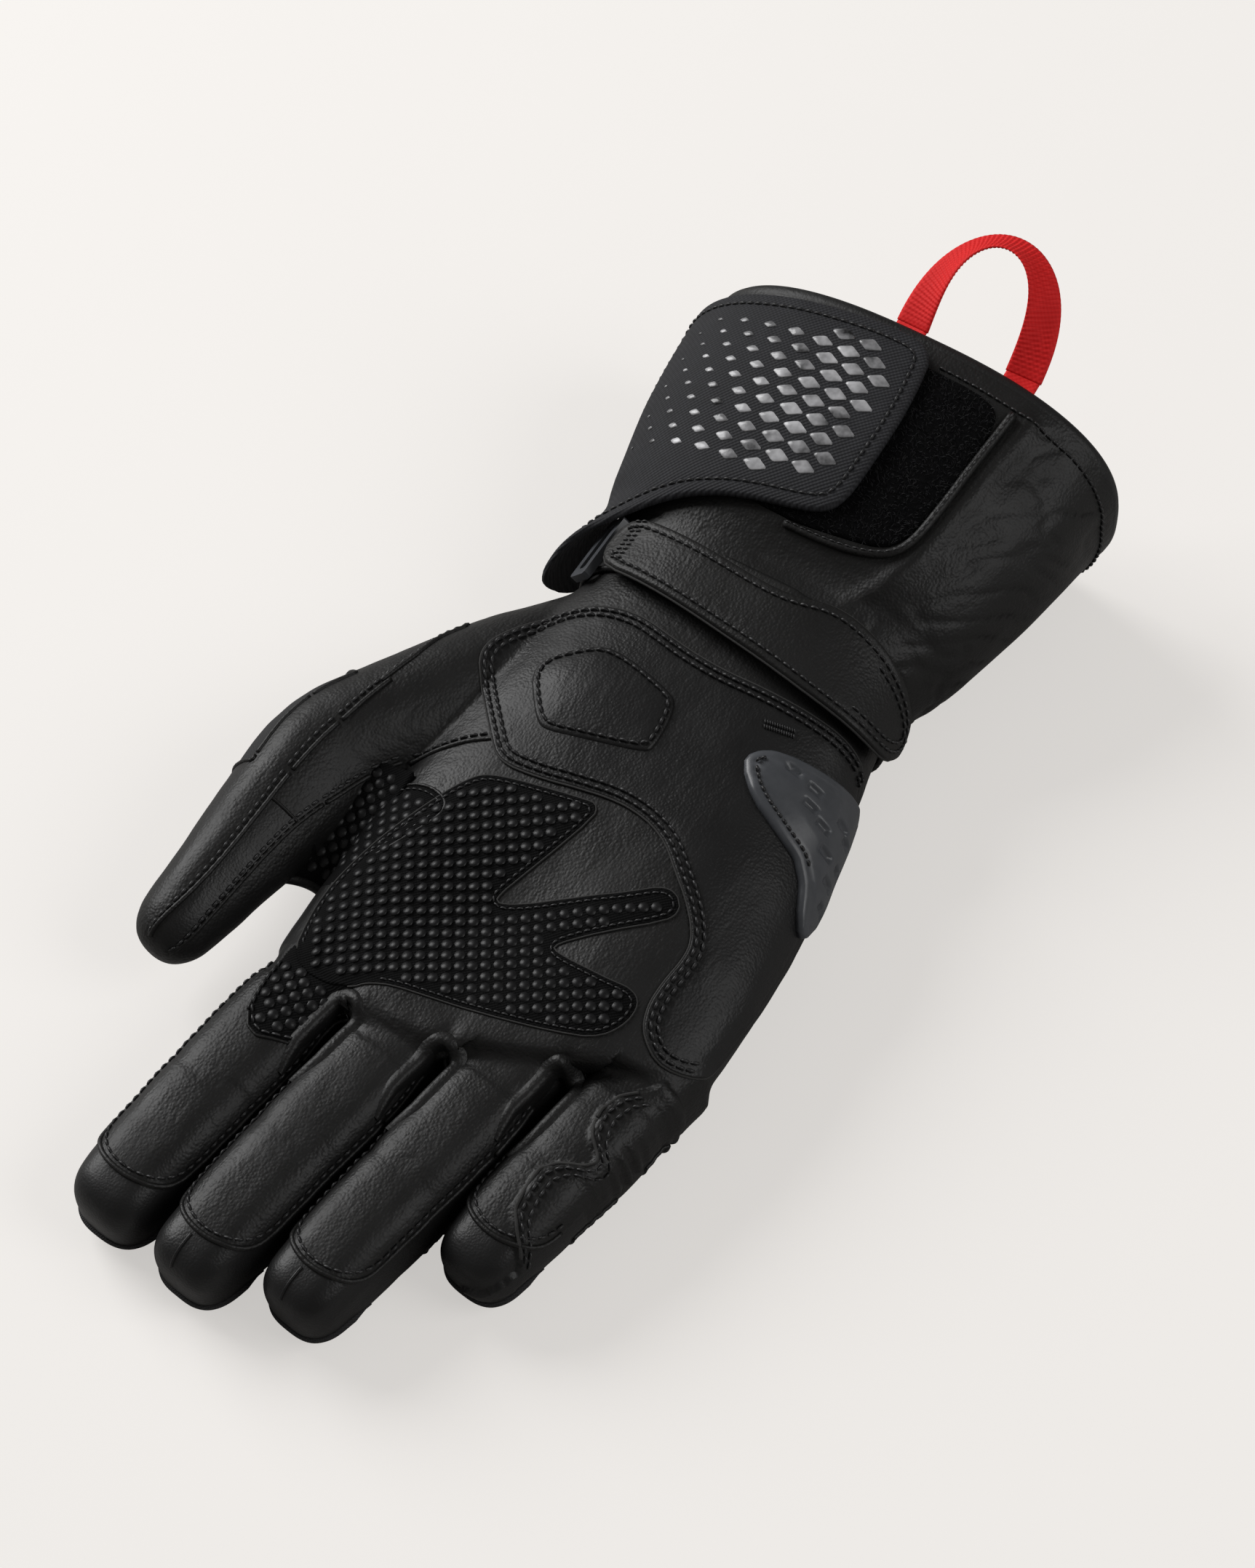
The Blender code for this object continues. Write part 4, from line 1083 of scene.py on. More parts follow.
def finger_seam(name, offset=0.0):
    """Distances and angles along the seam of a finger; offset moves it inwards on the palm side."""
    limb = limbs[name]
    side = SEAM_ANGLE + offset / limb.rows[2, 4]
    end = limb.length - CAP - offset
    straight = np.linspace(1.5 * MM, end - TONGUE_CORNER, SEAM_SIDE + 1)
    q = np.sin(np.linspace(-math.pi / 2, math.pi / 2, SEAM_ROUND))
    round_d = end - TONGUE_CORNER * corner_drop(np.abs(q))
    round_turn = math.pi / 2 - q * (math.pi / 2 - side)
    d = np.concatenate((straight[:-1], round_d, straight[::-1][1:]))
    turn = np.concatenate((np.full(SEAM_SIDE, math.pi - side), round_turn, np.full(SEAM_SIDE, side)))
    return d, turn


def split_runs(mask):
    """Runs of neighbouring points for which mask is true."""
    edges = np.flatnonzero(np.diff(np.concatenate(([0], mask.astype(int), [0]))))
    return [slice(a, b) for a, b in zip(edges[::2], edges[1::2]) if b - a > 2]


def relaxed_line(points, rounds=3):
    for _ in range(rounds):
        inner = points[1:-1] * 0.5 + (points[:-2] + points[2:]) * 0.25
        points = np.concatenate((points[:1], inner, points[-1:]))
    return points


def sew_runs(parts, place, out, roll, kind="leather", pitch=LIMB_STITCH, size=LIMB_THREAD):
    """A roll, or stitches if no roll is given, put with the pieces of skin that it lies on."""
    for part, mask in parts.items():
        for run in split_runs(mask):
            if roll:
                skin_heaps[part].add(*tube(relaxed_line(place[run]), roll), kind)
            else:
                stitches(skin_heaps[part], place[run], out[run], pitch, size)


def sew(name, d, turn, roll=None, kind="leather"):
    """Sew along distances and angles on a limb."""
    place, out = on_limb(name, d, turn, 0.1 * MM)
    still = d <= bend_start[name]
    near = d <= cut_at[name]
    parts = {"hand": still, name + "_knuckle": near & ~still, name + "_tip": ~near}
    sew_runs(parts, place, out, roll, kind)


def sew_panel(name, reach, turn):
    """A rolled seam round a panel that covers a stretch of a limb and a range of angles."""
    for edge in turn:
        sew(name, np.linspace(*reach, 40), np.full(40, edge), PANEL_ROLL)
    for edge in reach:
        sew(name, np.full(24, edge), np.linspace(*turn, 24), PANEL_ROLL)

# %% Sew the fingers
for name in SPREAD:
    sew_panel(name, (1 * MM, RIB_REACH[0]), BACK_TURN)
    sew_panel(name, (middle_of[name] - RIB_REACH[1], middle_of[name] + RIB_REACH[1]), BACK_TURN)
    first = SEAM_SIDE if name == "little" else 0
    for offset, roll in ((0.0, 0.75 * MM), (1.7 * MM, None)):
        d, turn = finger_seam(name, offset)
        sew(name, d[first:], turn[first:], roll)
d = np.linspace(2 * MM, 55 * MM, 130)
turn = panel_edge(d)
sew("little", d, turn + 0.02, 0.5 * MM, "cut_edge")
for beside in (0.16, 0.34):
    sew("little", d, turn + beside)
for name in ("middle", "ring"):
    limb = limbs[name]
    d = np.linspace(limb.length - CAP + 1.5 * MM, limb.length - 2 * MM, 26)
    sew(name, d, np.full(26, math.radians(84)), 0.4 * MM, "smooth_leather")
print("skin and seams:", sum(heap.count for heap in skin_heaps.values()), "points")

# %% [markdown]
# ## Heel overlay
#
# The heel of the palm carries a second layer of smoother leather, cut with a raw edge and sewn down with
# two rows of stitches. It is a patch on the skin. The skin with the overlay on it then serves as the
# ground for the pad and the slider.

# %% Rows of stitches and cut edges
def add_rows(heap, outline, depths, seat, lift, pitch=3.0 * MM, size=0.5 * MM, keep=None):
    """Rows of stitches inside an outline; keep says which points of a row are sewn."""
    for depth in depths:
        line = resample(inset(outline, depth), 1.2 * MM, closed=True)
        place, out = seat(*line.T, lift)
        gaps = np.linalg.norm(np.roll(place, -1, axis=0) - place, axis=1) > 4 * MM
        shown = np.ones(len(line), bool) if keep is None else keep(line)
        if shown.all() and not gaps.any():
            stitches(heap, place, out, pitch, size, closed=True)
            continue
        for run in split_runs(shown & ~gaps):
            stitches(heap, place[run], out[run], pitch, size)


def cut_edge(heap, outline, seat, lift, radius):
    """The raw cut edge of a sheet, a thin pale line along its border."""
    place = seat(*outline.T, lift)[0]
    heap.add(*tube(place, radius, sides=6, closed=True), "cut_edge")

# %% Lay the overlay
HEEL = outline_of([
    (60, 35), (47, 35.5), (34.5, 34.4), (22, 33.4), (7, 32), (-8, 33.4), (-22, 36.8), (-34, 35.6),
    (-45, 30), (-53, 18.5), (-57, 7), (-50.7, -2.3), (-39, -16.7), (-33, -23), (-20.5, -22.6),
    (-8.6, -20.4), (2, -18.6), (12, -19.4), (20, -22.8), (27, -29.4), (34, -35.5), (39.5, -42.2), (41, -48),
    (39.8, -58), (40, -66), (43, -73), (52, -78), (66, -70), (71, -40), (72, -10), (69, 26)])
HEEL_ROWS = (1.6 * MM, 3.6 * MM)
overlay_heap = Heap()
overlay_points, overlay_faces = lay(overlay_heap, "overlay", HEEL, 1.15 * MM, lift=-0.25 * MM,
                                    edge=0.5 * MM, rows=HEEL_ROWS)
cut_edge(overlay_heap, HEEL, on_palm, 0.5 * MM, 0.32 * MM)
add_rows(overlay_heap, HEEL, HEEL_ROWS, on_palm, 1.02 * MM, keep=lambda line: line[:, 0] < 60 * MM)
ground = [tuple(face) for face in hand_faces]
ground += [tuple(i + len(skin) for i in face) for face in overlay_faces]
ground_tree = tree(np.concatenate((skin, overlay_points)), ground)


def on_ground(s, y, lift=0.0):
    return on_palm(s, y, lift, ground_tree)


print("overlay", len(overlay_faces), "faces")

# %% [markdown]
# ## Slider
#
# A hard slider on the outer heel slides on the road and keeps the palm off it. It is moulded plastic, so
# its form is a relief on a patch with fine cells: a crown, a bevelled inner end and small slots. Beside
# it the overlay has a bar of short stitches.

# %% Slider
SLIDER = outline_of([(26.5, 9), (27, 14.5), (33, 18.5), (66, 27), (69, 12), (71, -10), (68, -19.5),
                     (62, -19), (54.5, -6), (44, -3), (34, 1)], pitch=1.3 * MM, rounds=1)
SLOTS = np.array([(39.5, 15.4), (46.5, 14.6), (47.5, 9.6), (53, 7.6), (57.5, 2.6), (58, 13.4), (62, 11.6),
                  (65, 3.6), (63, -2.6), (66, -9)]) * MM
SLIDER_ROW = 3.2 * MM


def slider_relief(flat, depth):
    """Moulded form of the slider: a crown, a bevelled inner end and small slots on its outer half."""
    crown = 0.9 * MM * ramp(depth, 0, 9 * MM)
    bevel = -1.1 * MM * ramp(flat[:, 0], 33 * MM, -5 * MM)
    slots = np.zeros(len(flat))
    for centre in SLOTS:
        off = np.abs(flat - centre) / (2.4 * MM, 1.25 * MM)
        slots = np.maximum(slots, np.clip(2.4 - np.maximum(*off.T) * 2.2, 0, 1))
    return crown + bevel - 1.2 * MM * slots


slider_heap = Heap()
lay(slider_heap, "slider", SLIDER, 2.2 * MM, lift=0.0, cell=0.6 * MM, edge=1.1 * MM,
    rows=(SLIDER_ROW,), relief=slider_relief, seat=on_ground)
add_rows(slider_heap, SLIDER, (SLIDER_ROW,), on_ground, 2.3 * MM, pitch=2.2 * MM,
         keep=lambda line: (line[:, 0] < 56 * MM) & (line[:, 1] < 14 * MM))
for share in np.linspace(0, 1, 13):
    centre = np.array((26 + 8 * share, 23.5 + 2.5 * share)) * MM
    ends = centre + np.array(((-0.6, 1.5), (0.6, -1.5))) * MM
    stitches(overlay_heap, *on_ground(*ends.T, 0.25 * MM), pitch=4 * MM, size=0.3 * MM)
print("slider", len(slider_heap.faces), "faces")

# %% [markdown]
# ## The pad, blown up as cloth
#
# The panel below the thumb is soft leather over foam. It starts as a thin closed cushion on the overlay,
# and Blender's cloth solver inflates it for a few frames while its sewn border is held. The swelling is
# capped, and the stitches are laid on afterwards.

# %% Inflate a cushion
SEWN_REACH, PUFF_FRAMES = 2.4 * MM, 20


def puffed(points, faces, border, pressure, swell):
    """Inflate a closed cushion with the cloth solver while its sewn border is held."""
    start = np.asarray(points, float)
    cushion = new_object("cushion", new_mesh("cushion", start, faces))
    sewn = cushion.vertex_groups.new(name="sewn")
    held = [i for i, p in enumerate(start) if np.linalg.norm(border - p, axis=1).min() < SEWN_REACH]
    sewn.add(held, 1.0, "REPLACE")
    cloth = cushion.modifiers.new("cloth", "CLOTH").settings
    cloth.use_pressure = True
    cloth.uniform_pressure_force = pressure
    cloth.vertex_group_mass = "sewn"
    cloth.effector_weights.gravity = 0
    for step in range(1, PUFF_FRAMES + 1):
        bpy.context.scene.frame_set(step)
    blown = evaluated(cushion)[0]
    bpy.context.scene.frame_set(1)
    bpy.data.objects.remove(cushion)
    move = blown - start
    length = np.linalg.norm(move, axis=1, keepdims=True)
    return start + move * np.minimum(1, swell / np.maximum(length, 1e-9))


def subdivided(points, faces):
    """One step of smooth subdivision."""
    smooth = new_object("smooth", new_mesh("smooth", points, faces))
    smooth.modifiers.new("subdivision", "SUBSURF").levels = 1
    result = evaluated(smooth)
    bpy.data.objects.remove(smooth)
    return result

# %% Lay the pad
PAD = outline_of([(-41.5, 9), (-29, 20), (-21.7, 23), (-2, 18.5), (3, 15.5), (4, 0), (1.5, -2.6),
                  (-25, -9.6), (-30, -8)], pitch=1.3 * MM)
PAD_SWELL, PAD_CROWN, PAD_PRESSURE, PAD_ROW = 1.6 * MM, 0.9 * MM, 4.0, 1.7 * MM


def pad_crown(flat, depth):
    return PAD_CROWN * ramp(depth, 0, 8 * MM) ** 0.7


pad_points, pad_faces = patch(PAD, 0.9 * MM, lift=-0.3 * MM, edge=0.9 * MM, rows=(PAD_ROW,),
                              relief=pad_crown, seat=on_ground)
pad_border = on_ground(*PAD.T, 0.4 * MM)[0]
pad_points = puffed(pad_points, pad_faces, pad_border, PAD_PRESSURE, PAD_SWELL)
pad_points, pad_faces = subdivided(pad_points, pad_faces)
pad_heap = Heap().add(pad_points, pad_faces, "overlay")
below = len(skin) + len(overlay_points)
pad_tree = tree(np.concatenate((skin, overlay_points, pad_points)),
                ground + [tuple(i + below for i in face) for face in pad_faces])
add_rows(pad_heap, PAD, (PAD_ROW,), lambda s, y, lift: on_palm(s, y, lift, pad_tree), 0.18 * MM)
print("pad", len(pad_faces), "faces, top at", round(pad_points[:, 2].max() * 1000, 1), "mm")

# %% [markdown]
# ## Grip patch with its dots
#
# A rubber-coated patch covers the palm below the fingers, with two wedges of leather let into it and its
# lower corner drawn out on the index finger. A second patch sits in the crotch of the thumb. The dots are
# small domes in a slanting square grid. They are geometry, because their rims catch the light at a low
# angle. Where a patch lies on skin that bends, its dots are put with that piece of skin.

# %% Grip dots
DOT_PITCH, DOT_RADIUS, DOT_HEIGHT = 3.5 * MM, 1.64 * MM, 0.32 * MM
DOT_TURN, DOT_SIDES = math.radians(32), 8


def domes(heap, place, out):
    """Grip dots standing on points."""
    after = [(k + 1) % DOT_SIDES for k in range(DOT_SIDES)]
    faces = [(0, 1 + k, 1 + n) for k, n in enumerate(after)]
    faces += [(1 + k, 1 + DOT_SIDES + k, 1 + DOT_SIDES + n, 1 + n) for k, n in enumerate(after)]
    for p, n in zip(place, out):
        side = unit(np.cross(n, (0.3, 0.9, 0.2)))
        ring = DOT_RADIUS * circle(DOT_SIDES, side, np.cross(n, side))
        rise = DOT_HEIGHT * n
        heap.add(np.concatenate(([p + rise], p + 0.86 * ring + 0.94 * rise, p + ring - 0.3 * rise)), faces,
                 "grip_dot")


def dot_grid(outline, margin):
    """Points of a slanting square grid inside an outline."""
    middle = outline.mean(axis=0)
    reach = np.abs(outline - middle).max() * 1.5
    across, up = np.meshgrid(*[np.arange(-reach, reach, DOT_PITCH)] * 2)
    turned = np.stack((across * math.cos(DOT_TURN) - up * math.sin(DOT_TURN),
                       across * math.sin(DOT_TURN) + up * math.cos(DOT_TURN)), axis=-1).reshape(-1, 2)
    grid = turned + middle
    grid = grid[within(grid, outline)]
    return grid[from_edge(grid, outline) > margin]

# %% Grip patch on the palm
GRIP = outline_of([
    (-54, -64), (-47, -46), (-38, -30), (-31, -26.5), (-10, -23), (1, -21.5), (-13, -57), (-11, -59.5),
    (17, -42), (28.5, -32.5), (35, -40), (9, -62.4), (10, -64.6), (25, -65.2), (37, -63.5), (38.5, -72),
    (33, -81.5), (10, -88.4), (-6, -91.4), (-26, -95.4), (-33, -101.5), (-50, -101.5), (-56, -82)],
    pitch=1.3 * MM)
GRIP_ROW, GRIP_CORNER_X, GRIP_CORNER_Y = 1.4 * MM, -33 * MM, -97 * MM
grip_heap = Heap()
lay(grip_heap, "grip", GRIP, 0.75 * MM, lift=-0.25 * MM, edge=0.4 * MM, rows=(GRIP_ROW,))
first = int(np.argmin(GRIP[:, 1] * 1e3 + GRIP[:, 0]))
edge_line = np.roll(GRIP, -first, axis=0)
edge_line = edge_line[(edge_line[:, 1] > GRIP_CORNER_Y) | (edge_line[:, 0] > GRIP_CORNER_X)]
edge_place = on_palm(*edge_line.T, 0.25 * MM)[0]
grip_heap.add(*tube(edge_place, 0.26 * MM, sides=6), "cut_edge")
add_rows(grip_heap, GRIP, (GRIP_ROW,), on_palm, 0.34 * MM, pitch=2.3 * MM, size=0.32 * MM,
         keep=lambda line: line[:, 1] > -95 * MM)
dots = dot_grid(GRIP, 2.5 * MM)
domes(grip_heap, *on_palm(*dots.T, 0.5 * MM))
print("dots on the palm", len(dots))

# %% Grip on the index finger
index_dots = dot_grid(np.array([(0, 0), (30, 0), (30, 24), (0, 24)]) * MM, 0)
index_turn = math.radians(52) + index_dots[:, 0] / limbs["index"].rows[1, 4]
dot_end = np.interp(index_turn, INDEX_GRIP, INDEX_REACH) - 3.4 * MM
shown = (index_dots[:, 1] < dot_end) & (index_dots[:, 1] > 1 * MM) & (index_turn < math.radians(134))
domes(skin_heaps["index_knuckle"], *on_limb("index", index_dots[shown, 1], index_turn[shown], 0.1 * MM))
border_turn = np.radians(np.linspace(53, 135, 60))
border = np.interp(border_turn, INDEX_GRIP, INDEX_REACH)
far = border > 1.5 * MM
sew("index", border[far], border_turn[far], 0.45 * MM)
sew("index", border[far] - 1.6 * MM, border_turn[far])
print("dots on the index finger", int(shown.sum()))

# %% Grip in the crotch of the thumb
whole_tree = tree(skin, skin_faces)
SADDLE_END = -62 * MM


def from_above(s, y, lift=0.0):
    """Seat points on the skin under a straight fall, and say which of them lie on the thumb's knuckle
    piece.
    """
    hit = fall_on(whole_tree, s + middle_x(y), y)
    out = np.array([whole_tree.find_nearest(Vector(p))[1] for p in hit])
    thumb_d, _, radius = limbs["thumb"].locate(hit)
    on_thumb = (thumb_d > bend_start["thumb"]) & (radius < 1.15)
    return raised(hit, out, lift), out, on_thumb


saddle_dots = dot_grid(SADDLE, 3.2 * MM)
place, out, on_thumb = from_above(*saddle_dots.T, 0.1 * MM)
level = out[:, 2] >= 0.3
for part, mask in (("hand", ~on_thumb & level), ("thumb_knuckle", on_thumb & level)):
    domes(skin_heaps[part], place[mask], out[mask])
for line, roll in ((SADDLE, 0.5 * MM), (inset(SADDLE, 1.7 * MM), None)):
    line = resample(line[line[:, 1] > SADDLE_END], 1.0 * MM)
    place, out, on_thumb = from_above(*line.T, 0.1 * MM)
    level = out[:, 2] > 0.35
    parts = {"hand": ~on_thumb & level, "thumb_knuckle": on_thumb & level}
    sew_runs(parts, place, out, roll, pitch=2.2 * MM, size=0.27 * MM)
print("dots in the thumb crotch", len(saddle_dots))

# %% Seams at the ball of the thumb
PALM_SEAMS = ([(-38, -16.5), (-45, -19.5), (-52, -24), (-59, -29.5)],
              [(-75.2, -17), (-73.4, -10), (-71.7, -4.2), (-69.7, 7), (-66, 15)])
for seam in PALM_SEAMS:
    line = resample(np.array(seam) * MM, 1.2 * MM)
    place = from_above(*line.T, 0.15 * MM)[0]
    skin_heaps["hand"].add(*tube(relaxed_line(place), 0.7 * MM), "leather")
    stitches(skin_heaps["hand"], *from_above(line[:, 0], line[:, 1] + 1.9 * MM, 0.1 * MM)[:2])
print("palm seams:", len(PALM_SEAMS))

# %% [markdown]
# ## Slots between the fingers and piping round the tips
#
# Between two fingers the leather turns inwards, and a thick rolled rim runs down one finger, round the
# crotch and up the other. It is a section swept along that path, and it sinks towards the ends of its
# legs, where a real one is lost in the side seams. A cloth piping runs round each fingertip under the
# cap.

# %% Slots between the fingers
SLOT_HALF, SLOT_START, SLOT_END, FADE_START = 3.3 * MM, 4 * MM, 27 * MM, 14 * MM
SLOT_LEG, SLOT_BEND = 40, 24
# the rim's section: distance outwards and height
RIM = np.array([(3.9, -0.8), (2.8, -0.1), (1.5, 0.3), (0.4, 0.25), (-0.4, -0.3), (-0.8, -1.5),
                (-0.9, -6.5)]) * MM


def slot_path(left, right):
    """Points and outward directions round the slot between two fingers, seen from above."""
    starts = [limbs[name].at(0.0) for name in (left, right)]
    start = (starts[0][0][0] + starts[1][0][0]) / 2
    ahead = unit((starts[0][1][0] + starts[1][1][0]) * (1, 1, 0))
    side = np.array((-ahead[1], ahead[0], 0.0))
    d = np.linspace(SLOT_END, SLOT_START, SLOT_LEG)
    half = SLOT_HALF - 1.2 * MM * ramp(d, 18 * MM, 9 * MM)
    turns = np.linspace(0, math.pi, SLOT_BEND + 2)[1:-1]
    bend = -np.cos(turns)[:, None] * side - np.sin(turns)[:, None] * ahead
    ways = np.concatenate((np.tile(-side, (SLOT_LEG, 1)), bend, np.tile(side, (SLOT_LEG, 1))))
    reach = np.concatenate((d, np.full(SLOT_BEND, SLOT_START), d[::-1]))
    wide = np.concatenate((half, np.full(SLOT_BEND, SLOT_HALF), half[::-1]))
    return start + reach[:, None] * ahead + wide[:, None] * ways, ways, reach


def strip_faces(lines, count):
    """Faces of an open strip of rows of points."""
    return [(i * count + k, i * count + k + 1, (i + 1) * count + k + 1, (i + 1) * count + k)
            for i in range(lines - 1) for k in range(count - 1)]


for left, right in NEIGHBOURS:
    path, ways, reach = slot_path(left, right)
    beside = path + 3 * MM * ways
    seat = fall_on(whole_tree, beside[:, 0], beside[:, 1])
    fade = ramp(reach, FADE_START, SLOT_END - FADE_START) ** 2
    seat = relaxed_line(seat, 12)[:, 2] - 2.4 * MM * fade
    rows = path[:, None] + RIM[None, :, :1] * ways[:, None]
    rows[..., 2] = seat[:, None] + RIM[None, :, 1] * (1 - 0.85 * fade[:, None])
    turn_end = SLOT_LEG + SLOT_BEND
    runs = (slice(0, SLOT_LEG), slice(SLOT_LEG - 1, turn_end + 1), slice(turn_end, None))
    for part, run in zip((left + "_knuckle", "hand", right + "_knuckle"), runs):
        skin_heaps[part].add(rows[run].reshape(-1, 3), strip_faces(len(rows[run]), len(RIM)), "leather")
print("rims between the fingers:", len(NEIGHBOURS))

# %% Piping round the fingertips
PIPING, PIPING_POINTS = 1.1 * MM, 70
for name in SPREAD:
    centre, t, f, l, _, _ = [value[0] for value in limbs[name].at(limbs[name].length - 11 * MM)]
    turns = np.radians(np.linspace(-125, 125, PIPING_POINTS))
    rays = unit_rows(np.cos(turns)[:, None] * t + np.sin(turns)[:, None] * l - 0.5 * f)
    sole = cast(limb_trees[name], centre + rays * 0.04, -rays, 0.05)
    from_end = np.linspace(0, 10, PIPING_POINTS)
    thin = np.clip(from_end, 0.3, 1) * np.clip(from_end[::-1], 0.3, 1)
    skin_heaps[name + "_tip"].add(*tube(relaxed_line(sole), PIPING * thin), "stretch")
print("piping on", len(SPREAD), "fingertips")

# %% [markdown]
# ## Web of the thumb
#
# A sheet of the same grip cloth spans the crotch between the thumb and the hand. It is a dipped grid with
# a rolled front edge, and it is put on no body.

# %% Web of the thumb
web_heap = Heap()
WEB_X, WEB_Y, WEB_Z = np.array((-69, -49)) * MM, np.array((-34, -76)) * MM, np.array((36, 22)) * MM
WEB_LINES, WEB_COLUMNS, WEB_THICK = 34, 17, 3.0 * MM
u, v = np.meshgrid(np.linspace(0, 1, WEB_COLUMNS), np.linspace(0, 1, WEB_LINES))
dip = 4 * u * (1 - u)
web = np.stack((WEB_X[0] + (WEB_X[1] - WEB_X[0]) * u,
                WEB_Y[0] + (WEB_Y[1] - WEB_Y[0]) * v + 5 * MM * dip * v,
                WEB_Z[0] + (WEB_Z[1] - WEB_Z[0]) * v - 2.5 * MM * dip), axis=2)
closing = np.sqrt(np.clip(1 - v ** 10, 0, 1))[..., None] * np.array((0, 0, WEB_THICK / 2))
sheet = np.concatenate((web + closing, (web - closing)[:, ::-1]), axis=1)
web_heap.add(sheet.reshape(-1, 3), band_faces(WEB_LINES, 2 * WEB_COLUMNS), "grip")
spots = np.array([(i, k) for i in range(3, WEB_LINES - 3, 2)
                  for k in range(2 + i // 2 % 2 * 2, WEB_COLUMNS - 2, 4)])
web_dots = (web + closing)[spots[:, 0], spots[:, 1]]
domes(web_heap, web_dots, np.tile((0.1, -0.25, 0.96), (len(spots), 1)))
web_heap.add(*tube(web[-1] + np.array((0, 0.6 * MM, 0)), 1.5 * MM), "leather")
print("dots on the web", len(spots))

# %% [markdown]
# ## Thumb seams
#
# Two seams run along the thumb: one on its outer side, and one from the palm over the inner side. A strip
# of smooth leather lies between them towards the tip, and a panel of stretch cloth on the outer side has
# a thin roll round it.

# %% Thumb seams
OUTER_SEAM = [(68, 52), (76, 60), (86, 67), (105, 65), (117, 65), (138, 69), (154, 64), (165, 50)]
INNER_SEAM = [(74, 124), (96, 118), (115, 102), (128, 101), (141, 103), (156, 106), (165, 112)]
for seam in (OUTER_SEAM, INNER_SEAM):
    line = resample(rounded(seam, 2, closed=False, most=20), 1.2)
    sew("thumb", line[:, 0] * MM, np.radians(line[:, 1]), 0.7 * MM)
    sew("thumb", line[:, 0] * MM, np.radians(line[:, 1] - 6))
sew_panel("thumb", STRETCH_REACH, STRETCH_TURN)
sew("thumb", np.full(18, STRIP_START), np.linspace(*STRIP_TURN, 18), 0.5 * MM)
print("thumb tip:", skin_heaps["thumb_tip"].count, "points")

# %% [markdown]
# ## Pile patches
#
# The cuff and the strap close with hook and loop. The pile is a fuzzy patch sewn on the leather: a rough
# sheet with thousands of short bent hairs on the larger one, which also has a raised lip of leather along
# its outer and lower border.

# %% Hairs of a pile
random = np.random.default_rng(7)
HAIR_LENGTH, HAIR_HALF, HAIR_BEND = 1.6 * MM, 0.09 * MM, 0.75


def on_cuff_or_hand(s, y, lift=0.0):
    """Seat points on the cuff, or on the hand where the cuff has ended."""
    place, out = wrap(s, y)
    high = cast(cuff_tree, place + out * CAST_FROM, -out, 0.03)
    low = cast(ground_tree, place + out * CAST_FROM, -out, 0.03)
    height = np.maximum(((high - place) * out).sum(axis=1), ((low - place) * out).sum(axis=1))
    height = np.clip(height, -4 * MM, 1.0 * MM)
    return raised(place, out, height + lift), out


def fibres(heap, outline, seat, count):
    """Short bent hairs of a pile."""
    low, high = outline.min(axis=0), outline.max(axis=0)
    spots = random.uniform(low, high, (count * 2, 2))
    spots = spots[within(spots, outline)][:count]
    place, out = seat(*spots.T, 1.15 * MM)
    lean = random.normal(0, HAIR_BEND, (len(spots), 3))
    for p, n, bend in zip(place, out, lean):
        up = unit(n + bend)
        side = unit(np.cross(up, bend + 0.01)) * HAIR_HALF
        a = p + up * HAIR_LENGTH * 0.5
        b = a + unit(up + 0.8 * bend) * HAIR_LENGTH * 0.5
        heap.add([p - side, p + side, a + side, a - side, b], [(0, 1, 2, 3), (3, 2, 4)], "pile_hair")


def flat_waves(flat, size, seed):
    return waves(np.concatenate((flat, 0 * flat[:, :1]), axis=1), size, seed)


def pile_relief(flat, depth):
    return 0.22 * MM * flat_waves(flat, 3.5 * MM, 2.0)

# %% Lay the pile
CUFF_PILE = outline_of([(33, 138), (33, 108), (30.5, 91), (25, 84.5), (0, 80.5), (-30, 82), (-34, 100),
                        (-34, 138)])
WRIST_PILE = outline_of([(58, 56), (10, 56), (10, 42), (31, 39.5), (50, 40), (58, 45)])
LIP = [(35, 138), (34, 120), (33.4, 104), (31.6, 89), (26, 83), (14, 80), (-2, 79.4)]
pile_heap, wrist_pile_heap = Heap(), Heap()
lay(pile_heap, "pile", CUFF_PILE, 1.5 * MM, lift=-0.2 * MM, edge=1.0 * MM, relief=pile_relief,
    seat=on_cuff)
fibres(pile_heap, CUFF_PILE, on_cuff, 6500)
lip_line = resample(rounded(np.array(LIP) * MM, 2, closed=False), 1.2 * MM)
lip_place = on_cuff(*lip_line.T, 0.8 * MM)[0]
pile_heap.add(*tube(relaxed_line(lip_place), 1.35 * MM, sides=10), "leather")
stitches(pile_heap, *on_cuff(*lip_line.T, 2.05 * MM), 2.3 * MM, 0.3 * MM)
lay(wrist_pile_heap, "pile", WRIST_PILE, 1.3 * MM, lift=-0.2 * MM, edge=0.8 * MM,
    relief=pile_relief, seat=on_cuff_or_hand)
print("pile", len(pile_heap.faces), "faces with its hairs")

# %% [markdown]
# ## Flap
#
# The flap is a twill cloth sheet that folds over from the thumb side. It hovers a few millimetres above
# the cuff, on the hook tape that holds it, and its lower corner stands off over the strap.

# %% Flap
FLAP = outline_of([(-80, 138), (-44, 140), (-9, 143), (7, 142.5), (10, 128), (11.5, 112), (11, 90),
                   (6, 83.5), (-20, 78), (-37, 71), (-49, 59), (-57, 48), (-64, 47), (-71, 56), (-77, 78)])
FLAP_HOOK = outline_of([(4, 134), (6, 112), (5, 94), (-26, 90), (-28, 134)])
FLAP_LIFT, FLAP_THICK, FLAP_CORNER, FLAP_ROW = 3.9 * MM, 1.7 * MM, 7.5 * MM, 4.0 * MM
HOOK_THICK, THREAD_SINK = 0.9 * MM, -0.16 * MM


def hover(s, y, lift=0.0):
    """Seat points over the cuff's plain form, without the waves of its skin."""
    place, out = wrap(s, y)
    return raised(place, out, lift), out


